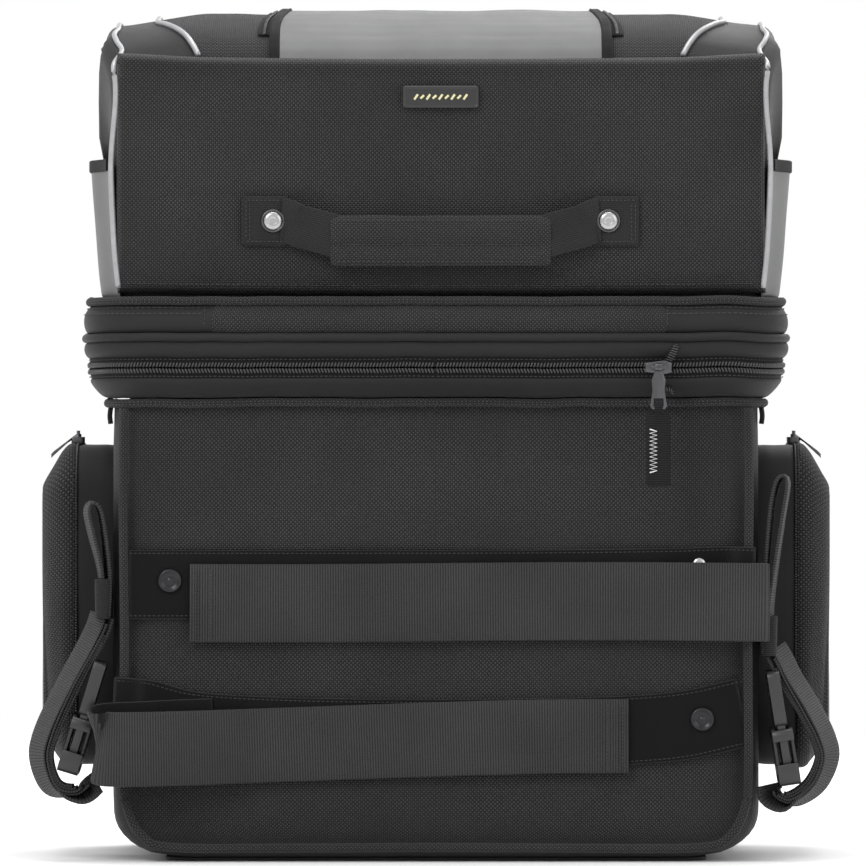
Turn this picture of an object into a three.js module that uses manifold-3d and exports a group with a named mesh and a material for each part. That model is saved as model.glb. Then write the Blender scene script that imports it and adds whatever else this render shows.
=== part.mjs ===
// Motorcycle touring bag: an expandable main bag with a roll bag on its lid.
// Millimetres, +Z up. The rear face, which meets the backrest, looks along -Y. The origin is the
// middle of the base mat's underside. Fabric walls are drawn thicker than cloth, as sewn panels.
import * as THREE from "three";
import { mergeVertices } from "three/addons/utils/BufferGeometryUtils.js";
import Module from "manifold-3d";

const wasm = await Module();
wasm.setup();

// ---- Driving dimensions ----

const seamGap = 0.4; // free space between neighbouring pieces
const wall = 4; // a padded fabric wall

// main bag
const bodyWidth = 422;
const bodyDepth = 270;
const bodyHeight = 296; // top edge of the lower bag
const cornerRadius = 26; // upright corners, seen from above
const baseRadius = 34; // bottom corners, seen from behind
const matThickness = 2.4;
const matInset = 34; // from the bag's side to the edge of the mat
const boardThickness = 3;
const foamThickness = 6;
const rearPipingRadius = 2.8;
const rearPipingInset = 8; // from the bag's side to the corded seam

// expansion section and lid
const cordHeight = 5; // corded seams that run round the bag
const rimBulge = 6; // how far each ring stands out past the main bag
const lowerBandHeight = 14;
const lowerBandBulge = 12;
const zipHalfHeight = 5.4;
const zipBulge = 19;
const upperBandHeight = 11;
const upperBandBulge = 17;
const lidCordBulge = 20;
const topCordWidth = 4; // the cord stands outside the lid's top edge
const lidHeight = 21;
const lidBulge = 18;
const gussetThickness = 4;

// roll bag
const rollShift = 3; // it sits a little to the right of the main bag
const rollHalfLength = 223;
const rollEndRounding = 9;
const rollHeight = 186;
const rollRearY = -126;
const rollFrontY = 122;
const rollMouthHalfWidth = 100;
const flapHalfWidth = 111;
const flapThickness = 3.4;
const flapFoot = 70; // height of the flap's lower edge above the roll bag's floor
const zipTapeWidth = 6;
const rearPanelThickness = 14; // a padded panel that makes the rear flat
const rearPanelHalfWidth = 211;
const rearPanelHeight = 153;
const rollPipingRadius = 1.4;
const endPocketHeight = 87;
const endPocketDepth = 200;
const endPocketThickness = 5;

// carry handle
const handleSpan = 218; // rivet to rivet
const handleHeight = 46.5; // rivets above the rear panel's lower edge
const handleTabLength = 30;
const handleTabWidth = 32;
const handleTabReach = 5; // rivet to the tab's middle
const webThickness = 2;
const gripLength = 143;
const gripHeight = 33;
const gripThickness = 9;
const handGap = 3; // the grip lies close to the rear panel
const handleDrop = 13; // grip's middle below the rivets
const rivetRadius = 7.6;
const rivetHeight = 2.6;

// backrest straps
const strapWidth = 51;
const strapThickness = 2.4;
const strapBaseWidth = 45;
const strapBaseLift = 10; // middle of the base above the middle of the strap
const strapSnapInset = 38; // from the bag's side to the visible snap
const turnGap = 3; // between a base's end and the strap that turns back from it
const upperStrapZ = 169;
const upperStrapTipInset = 51; // from the bag's side to the strap's free end
const lowerStrapZ = 79;
const lowerStrapTipInset = 86;

// side straps with release buckles
const webbingWidth = 38;
const keeperHeight = 26;
const keeperWall = 1.4;
const bundleThickness = 5;
const sideStrapInset = 18; // from the rear face to the middle of the webbing
const buckleWidth = 46;
const femaleThickness = 14;
const femaleLength = 38;
const maleThickness = 8;
const maleLength = 37;
const prongLength = 26;
const prongThickness = 5;
const buckleWall = 2.6;

// side and front pockets
const sidePocketLength = 180; // along Y
const sidePocketY = 22;
const sidePocketFoot = 60;
const sidePocketHeadroom = 25; // under the main bag's top edge
const sideGussetDepth = 26;
const sidePanelDepth = 21;
const frontPocketLength = 300; // along X
const frontPocketFoot = 40;
const frontPocketHeadroom = 56;
const frontGussetDepth = 26;
const frontPanelDepth = 15;
const pocketRadius = 30;
const pocketWall = 3;
const panelBevel = 9;

// zip sliders
const sliderLength = 17;
const sliderWidth = 9;
const sliderHeight = 5;
const bailReach = 3.2; // slider face to the middle of its bar
const bailBar = 2;
const pullWidth = 11;
const pullThickness = 2;
const pullLength = 27;
const pocketPullLength = 20;
const pullerLength = 47;
const pullerWidth = 16;
const expanderSliderX = 144;

// ---- Colours ----

const cloth = (color, roughness = 0.9) => new THREE.MeshStandardMaterial({ color, roughness });
const cordura = cloth(0x232325);
const smoothNylon = cloth(0x1c1c1e, 0.8);
const webbing = cloth(0x262628, 0.85);
const greyFabric = cloth(0x6b6c6e, 0.6);
const rubber = cloth(0x161617, 0.7);
const board = cloth(0x101011, 0.5);
const foam = cloth(0x3c3c3e, 1);
const plastic = cloth(0x2b2c2e, 0.45);
const metal = new THREE.MeshStandardMaterial({ color: 0xb8b8ba, roughness: 0.3, metalness: 1 });
const darkMetal = new THREE.MeshStandardMaterial({ color: 0x3a3a3c, roughness: 0.4, metalness: 1 });

// ---- Solid helpers ----

function solidOf(geometry) {
  const bare = geometry.index ? geometry.toNonIndexed() : geometry.clone();
  bare.deleteAttribute("normal");
  bare.deleteAttribute("uv");
  const merged = mergeVertices(bare, 1e-4);
  const mesh = new wasm.Mesh({
    numProp: 3,
    vertProperties: merged.attributes.position.array,
    triVerts: new Uint32Array(merged.index.array),
  });
  return new wasm.Manifold(mesh);
}

function geometryOf(solid) {
  const mesh = solid.getMesh();
  const geometry = new THREE.BufferGeometry();
  geometry.setAttribute("position", new THREE.BufferAttribute(mesh.vertProperties, 3));
  geometry.setIndex(new THREE.BufferAttribute(mesh.triVerts, 1));
  return geometry;
}

const cut = (from, ...tools) =>
  geometryOf(tools.reduce((left, tool) => left.subtract(solidOf(tool)), solidOf(from)));
const join = (first, ...others) =>
  geometryOf(others.reduce((sum, other) => sum.add(solidOf(other)), solidOf(first)));
const common = (first, second) => geometryOf(solidOf(first).intersect(solidOf(second)));

// Shapes are drawn as (x, y) for "z", (x, z) for "y" and (y, z) for "x".
const bases = {
  x: [new THREE.Vector3(0, 1, 0), new THREE.Vector3(0, 0, 1), new THREE.Vector3(1, 0, 0)],
  y: [new THREE.Vector3(1, 0, 0), new THREE.Vector3(0, 0, 1), new THREE.Vector3(0, -1, 0)],
  z: [new THREE.Vector3(1, 0, 0), new THREE.Vector3(0, 1, 0), new THREE.Vector3(0, 0, 1)],
};

function place(geometry, axis, from, to) {
  geometry.applyMatrix4(new THREE.Matrix4().makeBasis(...bases[axis]));
  const start = { x: [from, 0, 0], y: [0, to, 0], z: [0, 0, from] }[axis];
  return geometry.translate(...start);
}

function extrude(axis, shape, from, to, curveSegments = 3) {
  const options = { depth: to - from, bevelEnabled: false, curveSegments };
  return place(new THREE.ExtrudeGeometry(shape, options), axis, from, to);
}

function roundedRect(width, height, radius, centreX = 0, centreY = 0) {
  const shape = new THREE.Shape();
  const left = centreX - width / 2;
  const right = centreX + width / 2;
  const low = centreY - height / 2;
  const high = centreY + height / 2;
  shape.moveTo(left + radius, low);
  shape.lineTo(right - radius, low);
  shape.absarc(right - radius, low + radius, radius, -Math.PI / 2, 0);
  shape.lineTo(right, high - radius);
  shape.absarc(right - radius, high - radius, radius, 0, Math.PI / 2);
  shape.lineTo(left + radius, high);
  shape.absarc(left + radius, high - radius, radius, Math.PI / 2, Math.PI);
  shape.lineTo(left, low + radius);
  shape.absarc(left + radius, low + radius, radius, Math.PI, 1.5 * Math.PI);
  return shape;
}

// The bag's outline seen from above, grown by an amount on every side.
const planShape = (grow) =>
  roundedRect(bodyWidth + 2 * grow, bodyDepth + 2 * grow, Math.max(cornerRadius + grow, 6));

// A band that follows the bag's outline between two growths and two heights.
const band = (outer, inner, low, high) =>
  cut(extrude("z", planShape(outer), low, high), extrude("z", planShape(inner), low - 5, high + 5));

const box = (x, y, z) =>
  new THREE.BoxGeometry(x[1] - x[0], y[1] - y[0], z[1] - z[0]).translate(
    (x[0] + x[1]) / 2,
    (y[0] + y[1]) / 2,
    (z[0] + z[1]) / 2,
  );

// The outline of a flat band of cloth seen edge on, following a line of points.
function ribbonShape(points, thickness) {
  const line = points.map((p) => new THREE.Vector2(...p));
  const sides = [1, -1].map((side) =>
    line.map((point, i) => {
      const before = line[Math.max(i - 1, 0)];
      const after = line[Math.min(i + 1, line.length - 1)];
      const into = point.clone().sub(before).normalize();
      const out = after.clone().sub(point).normalize();
      const along = into.clone().add(out).normalize();
      const stretch = Math.max(along.dot(i ? into : out), 0.5);
      const normal = new THREE.Vector2(-along.y, along.x);
      return point.clone().addScaledVector(normal, (side * thickness) / 2 / stretch);
    }),
  );
  return new THREE.Shape([...sides[0], ...sides[1].reverse()]);
}

const ribbon = (axis, points, thickness, from, to) =>
  extrude(axis, ribbonShape(points, thickness), from, to);

const disc = (radius, height, sides = 20) =>
  new THREE.CylinderGeometry(radius, radius, height, sides).translate(0, height / 2, 0);

// A disc standing on a surface that looks along -Y.
const stud = (radius, height) => disc(radius, height).rotateX(Math.PI);

// Turns what was drawn in local X, Y, Z so that they point along three given directions.
const turned = (geometry, x, y, z) =>
  geometry.applyMatrix4(
    new THREE.Matrix4().makeBasis(...[x, y, z].map((direction) => new THREE.Vector3(...direction))),
  );

// ---- Scene helpers ----

const bag = new THREE.Group();

function add(name, geometry, material, parent = bag) {
  const mesh = new THREE.Mesh(geometry, material);
  mesh.name = name;
  parent.add(mesh);
  return mesh;
}

// ---- Main bag ----

const halfWidth = bodyWidth / 2;
const halfDepth = bodyDepth / 2;
const rearY = -halfDepth;
const shellLow = matThickness + seamGap;
const floorTop = shellLow + wall;

// The bag's outline seen from behind, with its rounded lower corners.
const behindShape = (inset, low, high) => {
  const shape = new THREE.Shape();
  const half = halfWidth - inset;
  const radius = baseRadius - inset;
  shape.moveTo(-half, high);
  shape.lineTo(-half, low + radius);
  shape.absarc(-half + radius, low + radius, radius, Math.PI, 1.5 * Math.PI);
  shape.lineTo(half - radius, low);
  shape.absarc(half - radius, low + radius, radius, 1.5 * Math.PI, 2 * Math.PI);
  shape.lineTo(half, high);
  return shape;
};

const bagForm = (inset, low, high) =>
  common(
    extrude("z", planShape(-inset), low, high),
    extrude("y", behindShape(inset, low, high + 1), -halfDepth - 1, halfDepth + 1),
  );

function buildMainBag() {
  const inner = bagForm(wall, floorTop, bodyHeight + 5);
  add("body_shell", cut(bagForm(0, shellLow, bodyHeight), inner), cordura);

  const matShape = roundedRect(bodyWidth - 2 * matInset, bodyDepth - matInset, 20);
  add("base_mat", extrude("z", matShape, 0, matThickness), rubber);

  const liningInset = wall + seamGap;
  const boardLow = floorTop + seamGap;
  const flatHalf = halfWidth - baseRadius - seamGap;
  const boardInner = halfDepth - liningInset - foamThickness - seamGap;
  const backBoardFront = rearY + liningInset + boardThickness;
  const baseBoard = roundedRect(
    2 * flatHalf,
    boardInner - backBoardFront - seamGap,
    8,
    0,
    (boardInner + backBoardFront + seamGap) / 2,
  );
  add("base_board", extrude("z", baseBoard, boardLow, boardLow + boardThickness), board);

  const backBoard = roundedRect(2 * (halfWidth - cornerRadius - 6), bodyHeight - baseRadius - 20, 10);
  const backGeometry = extrude("y", backBoard, rearY + liningInset, backBoardFront);
  backGeometry.translate(0, 0, (bodyHeight + baseRadius) / 2);
  add("back_board", backGeometry, board);

  const foamOuter = extrude("z", planShape(-liningInset), baseRadius + 8, bodyHeight - 4);
  const foamInner = extrude("z", planShape(-liningInset - foamThickness), 0, bodyHeight + 5);
  const rearSide = box([-halfWidth, halfWidth], [rearY, rearY + cornerRadius + 12], [0, bodyHeight]);
  add("foam_liner", cut(foamOuter, foamInner, rearSide), foam);

  buildRearPiping();
}

// The corded seam runs down one side of the rear panel, along its foot and up the other side.
function buildRearPiping() {
  const half = halfWidth - rearPipingInset;
  const low = shellLow + rearPipingRadius + 4;
  const high = bodyHeight - 9;
  const points = [
    [-half, high],
    [-half, low + baseRadius],
    [-half + baseRadius * 0.3, low + baseRadius * 0.3],
    [-half + baseRadius, low],
    [half - baseRadius, low],
    [half - baseRadius * 0.3, low + baseRadius * 0.3],
    [half, low + baseRadius],
    [half, high],
  ];
  const back = rearY - seamGap;
  add("rear_piping", ribbon("y", points, 2 * rearPipingRadius, back - 2 * rearPipingRadius, back), cordura);
}

// ---- Expansion section and lid ----

const rimLow = bodyHeight + seamGap;
const lowerBandLow = rimLow + cordHeight + seamGap;
const zipLow = lowerBandLow + lowerBandHeight;
const zipMiddle = zipLow + zipHalfHeight + seamGap / 2;
const zipHigh = zipLow + 2 * zipHalfHeight + seamGap;
const upperBandHigh = zipHigh + upperBandHeight;
const lidCordLow = upperBandHigh + seamGap;
const lidLow = lidCordLow + cordHeight + seamGap;
const lidHigh = lidLow + lidHeight;

function buildExpansion() {
  add("rim_piping", band(rimBulge, -wall, rimLow, rimLow + cordHeight), cordura);
  const lowerHalf = band(zipBulge, -wall, zipLow, zipLow + zipHalfHeight);
  const lowerCloth = band(lowerBandBulge, -wall, lowerBandLow, zipLow + 1);
  add("expander_lower_band", join(lowerCloth, lowerHalf), smoothNylon);
  const upperHalf = band(zipBulge, -wall, zipMiddle + seamGap / 2, zipHigh);
  const upperCloth = band(upperBandBulge, -wall, zipHigh - 1, upperBandHigh);
  add("expander_upper_band", join(upperCloth, upperHalf), smoothNylon);
  add("lid_piping_lower", band(lidCordBulge, -wall, lidCordLow, lidCordLow + cordHeight), cordura);
  const outer = -wall - seamGap;
  const gusset = band(outer, outer - gussetThickness, rimLow, zipHigh);
  add("expansion_gusset", gusset, smoothNylon);
}

function buildLid() {
  const cap = extrude("z", planShape(lidBulge), lidLow, lidHigh);
  const hollow = extrude("z", planShape(-wall), lidLow - 5, lidHigh - wall);
  add("lid_panel", cut(cap, hollow), cordura);
  const cordLow = lidHigh + 1 - cordHeight;
  const cordInner = lidBulge + seamGap;
  add("lid_piping_upper", band(cordInner + topCordWidth, cordInner, cordLow, cordLow + cordHeight), cordura);
}

// ---- Roll bag ----

const rollLow = lidHigh + seamGap;
const rollHigh = rollLow + rollHeight;

// The roll bag's section: upright at the rear, round on top and at the front.
function rollSection(inset) {
  const shape = new THREE.Shape();
  const rear = rollRearY + inset;
  const front = rollFrontY - inset;
  const low = rollLow + inset;
  const high = rollHigh - inset;
  const crown = -18;
  shape.moveTo(rear, low);
  shape.lineTo(front - 24, low);
  shape.quadraticCurveTo(front, low, front, low + 26);
  shape.lineTo(front, low + 76);
  shape.bezierCurveTo(front, high - 38, crown + 76, high, crown, high);
  shape.bezierCurveTo(crown - 58, high, rear, high - 12, rear, high - 52);
  return shape;
}

const rollSpan = (half) => [rollShift - half, rollShift + half];
const rollSkin = (outer, inner, half) =>
  cut(
    extrude("x", rollSection(-outer), ...rollSpan(half), 8),
    extrude("x", rollSection(-inner), ...rollSpan(half + 5), 8),
  );
const panelRearY = rollRearY - seamGap - rearPanelThickness;
const panelLow = rollLow + 5;
const panelHigh = panelLow + rearPanelHeight;

function buildRollBag() {
  const options = {
    depth: 2 * (rollHalfLength - rollEndRounding),
    bevelSize: rollEndRounding,
    bevelThickness: rollEndRounding,
    bevelOffset: -rollEndRounding,
    bevelSegments: 2,
    curveSegments: 8,
  };
  const solid = new THREE.ExtrudeGeometry(rollSection(0), options);
  const outer = place(solid, "x", rollShift - rollHalfLength + rollEndRounding, 0);
  const inner = extrude("x", rollSection(wall), ...rollSpan(rollHalfLength - wall), 8);
  const mouth = box(
    rollSpan(rollMouthHalfWidth),
    [rollRearY + 42, rollFrontY + 10],
    [rollLow + flapFoot + 10, rollHigh + 10],
  );
  add("roll_shell", cut(outer, inner, mouth), cordura);

  const panel = box(rollSpan(rearPanelHalfWidth), [panelRearY, rollRearY - seamGap], [panelLow, panelHigh]);
  add("roll_rear_panel", panel, cordura);

  for (const [side, sign] of [["left", -1], ["right", 1]]) {
    const pocketMiddle = [(rollRearY + rollFrontY) / 2, rollLow + 2 + endPocketHeight / 2];
    const pocket = roundedRect(endPocketDepth, endPocketHeight, 14, ...pocketMiddle);
    const near = rollShift + sign * (rollHalfLength + seamGap);
    const far = near + sign * endPocketThickness;
    const pocketSolid = extrude("x", pocket, Math.min(near, far), Math.max(near, far));
    add(`roll_end_pocket_${side}`, pocketSolid, greyFabric);

    const edge = rollShift + sign * (rearPanelHalfWidth + seamGap + rollPipingRadius);
    const cord = disc(rollPipingRadius, rearPanelHeight + 4, 10).rotateX(Math.PI / 2);
    cord.translate(edge, panelRearY + 2 * rollPipingRadius, panelLow);
    add(`roll_edge_piping_${side}`, cord, metal);
  }

  const badge = roundedRect(50, 15, 3, rollShift, panelHigh - 26);
  add("badge_patch", extrude("y", badge, panelRearY - seamGap - 2, panelRearY - seamGap), rubber);
}

const flapRearY = rollRearY + 20;
const flapFrontY = rollFrontY + seamGap + flapThickness;

// The flap lies over the mouth and down the front, and hinges at its rear edge.
function buildRollFlap() {
  const region = (half, foot) =>
    box(rollSpan(half), [flapRearY, flapFrontY + 5], [rollLow + foot, rollHigh + 30]);
  const skin = rollSkin(seamGap + flapThickness, seamGap, rollHalfLength);
  const lowSkin = rollSkin(seamGap + 2, seamGap, rollHalfLength);
  add("roll_flap", common(skin, region(flapHalfWidth, flapFoot)), greyFabric);
  const tapeFrame = common(lowSkin, region(flapHalfWidth + seamGap + zipTapeWidth, flapFoot - seamGap - zipTapeWidth));
  add("roll_zip_tape", cut(tapeFrame, region(flapHalfWidth + seamGap, flapFoot - seamGap)), smoothNylon);
}

// ---- Carry handle ----

const tabRearY = panelRearY - seamGap - webThickness;
const rivetZ = panelLow + handleHeight;
const gripZ = rivetZ - handleDrop;
const gripFrontY = panelRearY - handGap;
const gripRearY = gripFrontY - gripThickness;

// The handle's webbing seen from behind: down from one tab, through the grip, up to the other.
function handleLine() {
  const end = handleSpan / 2 + handleTabReach - handleTabLength / 2 - seamGap;
  const gripEnd = gripLength / 2;
  const half = [
    [end, rivetZ],
    [gripEnd + 6, gripZ + 5],
    [gripEnd - 8, gripZ],
  ];
  const other = half.map(([x, z]) => [-x, z]).reverse();
  return [...half, ...other].map(([x, z]) => [rollShift + x, z]);
}

function buildHandle() {
  for (const [side, sign] of [["left", -1], ["right", 1]]) {
    const x = rollShift + (sign * handleSpan) / 2;
    const tab = roundedRect(handleTabLength, handleTabWidth, 2, x + sign * handleTabReach, rivetZ);
    add(`handle_tab_${side}`, extrude("y", tab, tabRearY, panelRearY - seamGap), webbing);
    const rivet = add(`handle_rivet_${side}`, stud(rivetRadius, rivetHeight), metal);
    rivet.position.set(x, tabRearY - seamGap, rivetZ);
  }
  const webY = (gripFrontY + gripRearY) / 2;
  const web = ribbon("y", handleLine(), 20, webY - webThickness / 2, webY + webThickness / 2);
  const grip = extrude("y", roundedRect(gripLength, gripHeight, 8, rollShift, gripZ), gripRearY, gripFrontY);
  const roomHalf = webThickness / 2 + seamGap;
  const room = box(rollSpan(gripLength), [webY - roomHalf, webY + roomHalf], [gripZ - 11.5, gripZ + 14]);
  add("handle_webbing", web, webbing);
  add("handle_grip", cut(grip, room), cordura);
}

// ---- Backrest straps ----

const baseY = rearY - seamGap - strapThickness / 2;
const overY = rearY - 2 * seamGap - 2 * rearPipingRadius - strapThickness / 2; // over the corded seam
const tipY = baseY - strapThickness - seamGap;
const seamX = halfWidth - rearPipingInset - rearPipingRadius - seamGap;

// Each strap's turn is drawn from the bag's side inwards, as distances in and out from the base.
const strapRows = [
  {
    name: "upper",
    sign: 1,
    z: upperStrapZ,
    tipInset: upperStrapTipInset,
    reach: 5,
    turn: [[6, 0], [2, 0.6], [0, 2.2], [2, 3.8], [8, 4.6], [24, 4.6], [62, 1.6]],
  },
  {
    name: "lower",
    sign: -1,
    z: lowerStrapZ,
    tipInset: lowerStrapTipInset,
    reach: 8,
    turn: [[6, 0], [1, 0.8], [-1, 4.4], [1, 10.4], [12, 16], [35, 16.4], [60, 9.4], [88, 1.6]],
  },
];

// Each strap crosses the rear panel from one side seam, turns and lies back over its base.
function buildBackrestStraps() {
  for (const { name, sign, z, tipInset, reach, turn } of strapRows) {
    const foldX = halfWidth + reach;
    const base = [
      [-sign * seamX, baseY],
      [sign * (seamX - 14), baseY],
      [sign * (seamX - 2), overY],
      [sign * (foldX - turn[0][0] - turnGap), overY],
    ];
    const baseLow = z + strapBaseLift - strapBaseWidth / 2;
    const baseBand = ribbon("z", base, strapThickness, baseLow, baseLow + strapBaseWidth);
    add(`${name}_strap_base`, baseBand, smoothNylon);

    const last = turn[turn.length - 1][0] + 14;
    const line = turn.map(([inward, outward]) => [sign * (foldX - inward), overY - outward]);
    line.push([sign * (foldX - last), tipY], [-sign * (halfWidth - tipInset), tipY]);
    const strap = ribbon("z", line, strapThickness, z - strapWidth / 2, z + strapWidth / 2);
    add(`${name}_wide_strap`, strap, webbing);

    const snapX = -sign * (halfWidth - strapSnapInset);
    const snap = add(`${name}_strap_snap`, stud(rivetRadius, rivetHeight), darkMetal);
    snap.position.set(snapX, baseY - strapThickness / 2 - seamGap, z + strapBaseLift + 4);
  }
}

// ---- Side straps with release buckles ----

// Points are (distance out from the bag's side, height); the buckle stands on its foot and leans in.
const sideRows = [
  {
    side: "left",
    sign: -1,
    keeperLow: 158,
    anchor: [[2, 158], [2, 186], [6, 216], [9, 230], [14, 234], [17, 228], [14, 214], [6.4, 186], [6.4, 158]],
    bundle: [[9, 152], [15, 138], [29, 112], [42, 84], [45.5, 66], [38, 47], [23, 43], [10, 52]],
    buckleFoot: [29, 58],
    buckleLean: 17,
  },
  {
    side: "right",
    sign: 1,
    keeperLow: 134,
    anchor: [[2, 134], [2, 168], [7, 222], [11, 246], [16, 252], [19, 245], [15, 222], [6.4, 168], [6.4, 134]],
    bundle: [[14, 132], [19, 119], [30, 101], [40, 81], [43, 66], [35, 48], [20, 37], [8, 42], [6, 50]],
    buckleFoot: [19.5, 50],
    buckleLean: 9,
  },
];

// A buckle stands along local Z with its webbing's width along Y; the male end drops in from above.
function femaleBuckle() {
  const half = femaleThickness / 2;
  const outline = roundedRect(buckleWidth, femaleLength, 6, 0, femaleLength / 2);
  const body = extrude("x", outline, -half, half);
  const mouthHalf = buckleWidth / 2 - buckleWall;
  const mouthLow = femaleLength - prongLength - 2;
  const mouth = box([-half + buckleWall, half - buckleWall], [-mouthHalf, mouthHalf], [mouthLow, femaleLength + 5]);
  const windows = [-1, 1].map((side) =>
    box([-half - 5, half + 5], side < 0 ? [-40, -mouthHalf + 5] : [mouthHalf - 5, 40], [mouthLow + 4, femaleLength - 9]),
  );
  const slot = box([-half - 5, half + 5], [-webbingWidth / 2, webbingWidth / 2], [3, mouthLow - 2.5]);
  return cut(body, mouth, ...windows, slot);
}

function maleBuckle() {
  const half = maleThickness / 2;
  const low = femaleLength + seamGap;
  const base = extrude("x", roundedRect(buckleWidth - 2, maleLength, 5, 0, low + maleLength / 2), -half, half);
  const prongs = [-1, 0, 1].map((side) => {
    const middle = side * (buckleWidth / 2 - buckleWall - 4.4);
    const prongHalf = side ? 3.6 : 2;
    return box(
      [-prongThickness / 2, prongThickness / 2],
      [middle - prongHalf, middle + prongHalf],
      [femaleLength - prongLength, low + 5],
    );
  });
  const slots = [6, 14].map((drop) => {
    const high = low + maleLength - drop;
    return box([-half - 5, half + 5], [-webbingWidth / 2 + 1, webbingWidth / 2 - 1], [high - 4, high]);
  });
  return cut(join(base, ...prongs), ...slots);
}

function buildSideStraps() {
  const sideStrapY = rearY + sideStrapInset;
  const [low, high] = [sideStrapY - webbingWidth / 2, sideStrapY + webbingWidth / 2];
  for (const { side, sign, keeperLow, anchor, bundle, buckleFoot, buckleLean } of sideRows) {
    const mirrored = (points) => points.map(([out, z]) => [sign * (halfWidth + out), z]);
    add(`strap_anchor_${side}`, ribbon("y", mirrored(anchor), webThickness, low, high), webbing);
    add(`strap_bundle_${side}`, ribbon("y", mirrored(bundle), bundleThickness, low, high), webbing);

    const inner = halfWidth + seamGap;
    const outer = halfWidth + anchor[anchor.length - 1][0] + webThickness / 2 + 2;
    const xs = [sign * inner, sign * (outer + keeperWall)].sort((a, b) => a - b);
    const sleeve = box(
      xs,
      [low - keeperWall - seamGap, high + keeperWall + seamGap],
      [keeperLow, keeperLow + keeperHeight],
    );
    const room = box(
      [sign * (inner + 0.2), sign * outer].sort((a, b) => a - b),
      [low - seamGap, high + seamGap],
      [0, 400],
    );
    add(`strap_keeper_${side}`, cut(sleeve, room), webbing);

    const frame = new THREE.Group();
    frame.position.set(sign * (halfWidth + buckleFoot[0]), sideStrapY, buckleFoot[1]);
    frame.rotation.y = THREE.MathUtils.degToRad(-sign * buckleLean);
    add(`buckle_female_${side}`, femaleBuckle(), plastic, frame);
    add(`buckle_male_${side}`, maleBuckle(), plastic, frame);
    bag.add(frame);
  }
}

// ---- Pockets ----

// A pocket is drawn flat, outwards along local Z, and then stood against the bag.
function pocketGusset(length, height, depth) {
  const shrink = 2 * pocketWall;
  const outline = roundedRect(length, height, pocketRadius);
  const hole = roundedRect(length - shrink, height - shrink, pocketRadius - pocketWall);
  return cut(extrude("z", outline, 0, depth), extrude("z", hole, -5, depth + 5));
}

// A shallow tray with a slanted edge round its outer face.
function pocketPanel(length, height, depth) {
  const form = (inset, top) => {
    const radius = pocketRadius - inset;
    const shape = roundedRect(length - 2 * inset, height - 2 * inset, radius);
    const options = {
      depth: top,
      bevelThickness: panelBevel,
      bevelSize: panelBevel,
      bevelOffset: -panelBevel,
      bevelSegments: 1,
      curveSegments: 3,
    };
    return new THREE.ExtrudeGeometry(shape, options).translate(0, 0, -panelBevel);
  };
  const below = box([-length, length], [-height, height], [-length, 0]);
  return cut(form(0, depth), below, form(pocketWall, depth - pocketWall));
}

const sidePocketHeight = bodyHeight - sidePocketHeadroom - sidePocketFoot;
const frontPocketHeight = bodyHeight - frontPocketHeadroom - frontPocketFoot;
const sidePocketTop = bodyHeight - sidePocketHeadroom;
const frontPocketTop = bodyHeight - frontPocketHeadroom;

// Directions of a pocket's length, height and depth, and the middle of its foot against the bag.
const pocketRows = [
  {
    name: "side_pocket",
    tail: "_left",
    size: [sidePocketLength, sidePocketHeight],
    depths: [sideGussetDepth, sidePanelDepth],
    directions: [[0, -1, 0], [0, 0, 1], [-1, 0, 0]],
    foot: [-halfWidth, sidePocketY, sidePocketFoot],
  },
  {
    name: "side_pocket",
    tail: "_right",
    size: [sidePocketLength, sidePocketHeight],
    depths: [sideGussetDepth, sidePanelDepth],
    directions: [[0, 1, 0], [0, 0, 1], [1, 0, 0]],
    foot: [halfWidth, sidePocketY, sidePocketFoot],
  },
  {
    name: "front_pocket",
    tail: "",
    size: [frontPocketLength, frontPocketHeight],
    depths: [frontGussetDepth, frontPanelDepth],
    directions: [[-1, 0, 0], [0, 0, 1], [0, 1, 0]],
    foot: [0, halfDepth, frontPocketFoot],
  },
];

function buildPockets() {
  for (const { name, tail, size, depths, directions, foot } of pocketRows) {
    const gusset = pocketGusset(...size, depths[0]).translate(0, size[1] / 2, seamGap);
    const panel = pocketPanel(...size, depths[1]).translate(0, size[1] / 2, depths[0] + 2 * seamGap);
    add(`${name}_gusset${tail}`, turned(gusset, ...directions).translate(...foot), smoothNylon);
    add(`${name}_panel${tail}`, turned(panel, ...directions).translate(...foot), cordura);
  }
}

// ---- Zip sliders ----

// A slider lies on a zip that runs along local X and looks out along local -Y.
function sliderSolid() {
  const half = sliderLength / 2;
  const plan = new THREE.Shape();
  plan.moveTo(-half, -sliderWidth * 0.32);
  plan.lineTo(half - 5, -sliderWidth / 2);
  plan.lineTo(half, -sliderWidth * 0.35);
  plan.lineTo(half, sliderWidth * 0.35);
  plan.lineTo(half - 5, sliderWidth / 2);
  plan.lineTo(-half, sliderWidth * 0.32);
  const plate = extrude("y", plan, -sliderHeight, 0);
  const barHalf = bailBar / 2;
  const barFar = sliderHeight + bailReach + barHalf;
  const bail = box([-5, 5], [-barFar, -1], [-barHalf, barHalf]);
  const under = box([-3, 3], [-sliderHeight - bailReach + barHalf, -sliderHeight], [-5, 5]);
  return cut(join(plate, bail), under);
}

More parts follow.
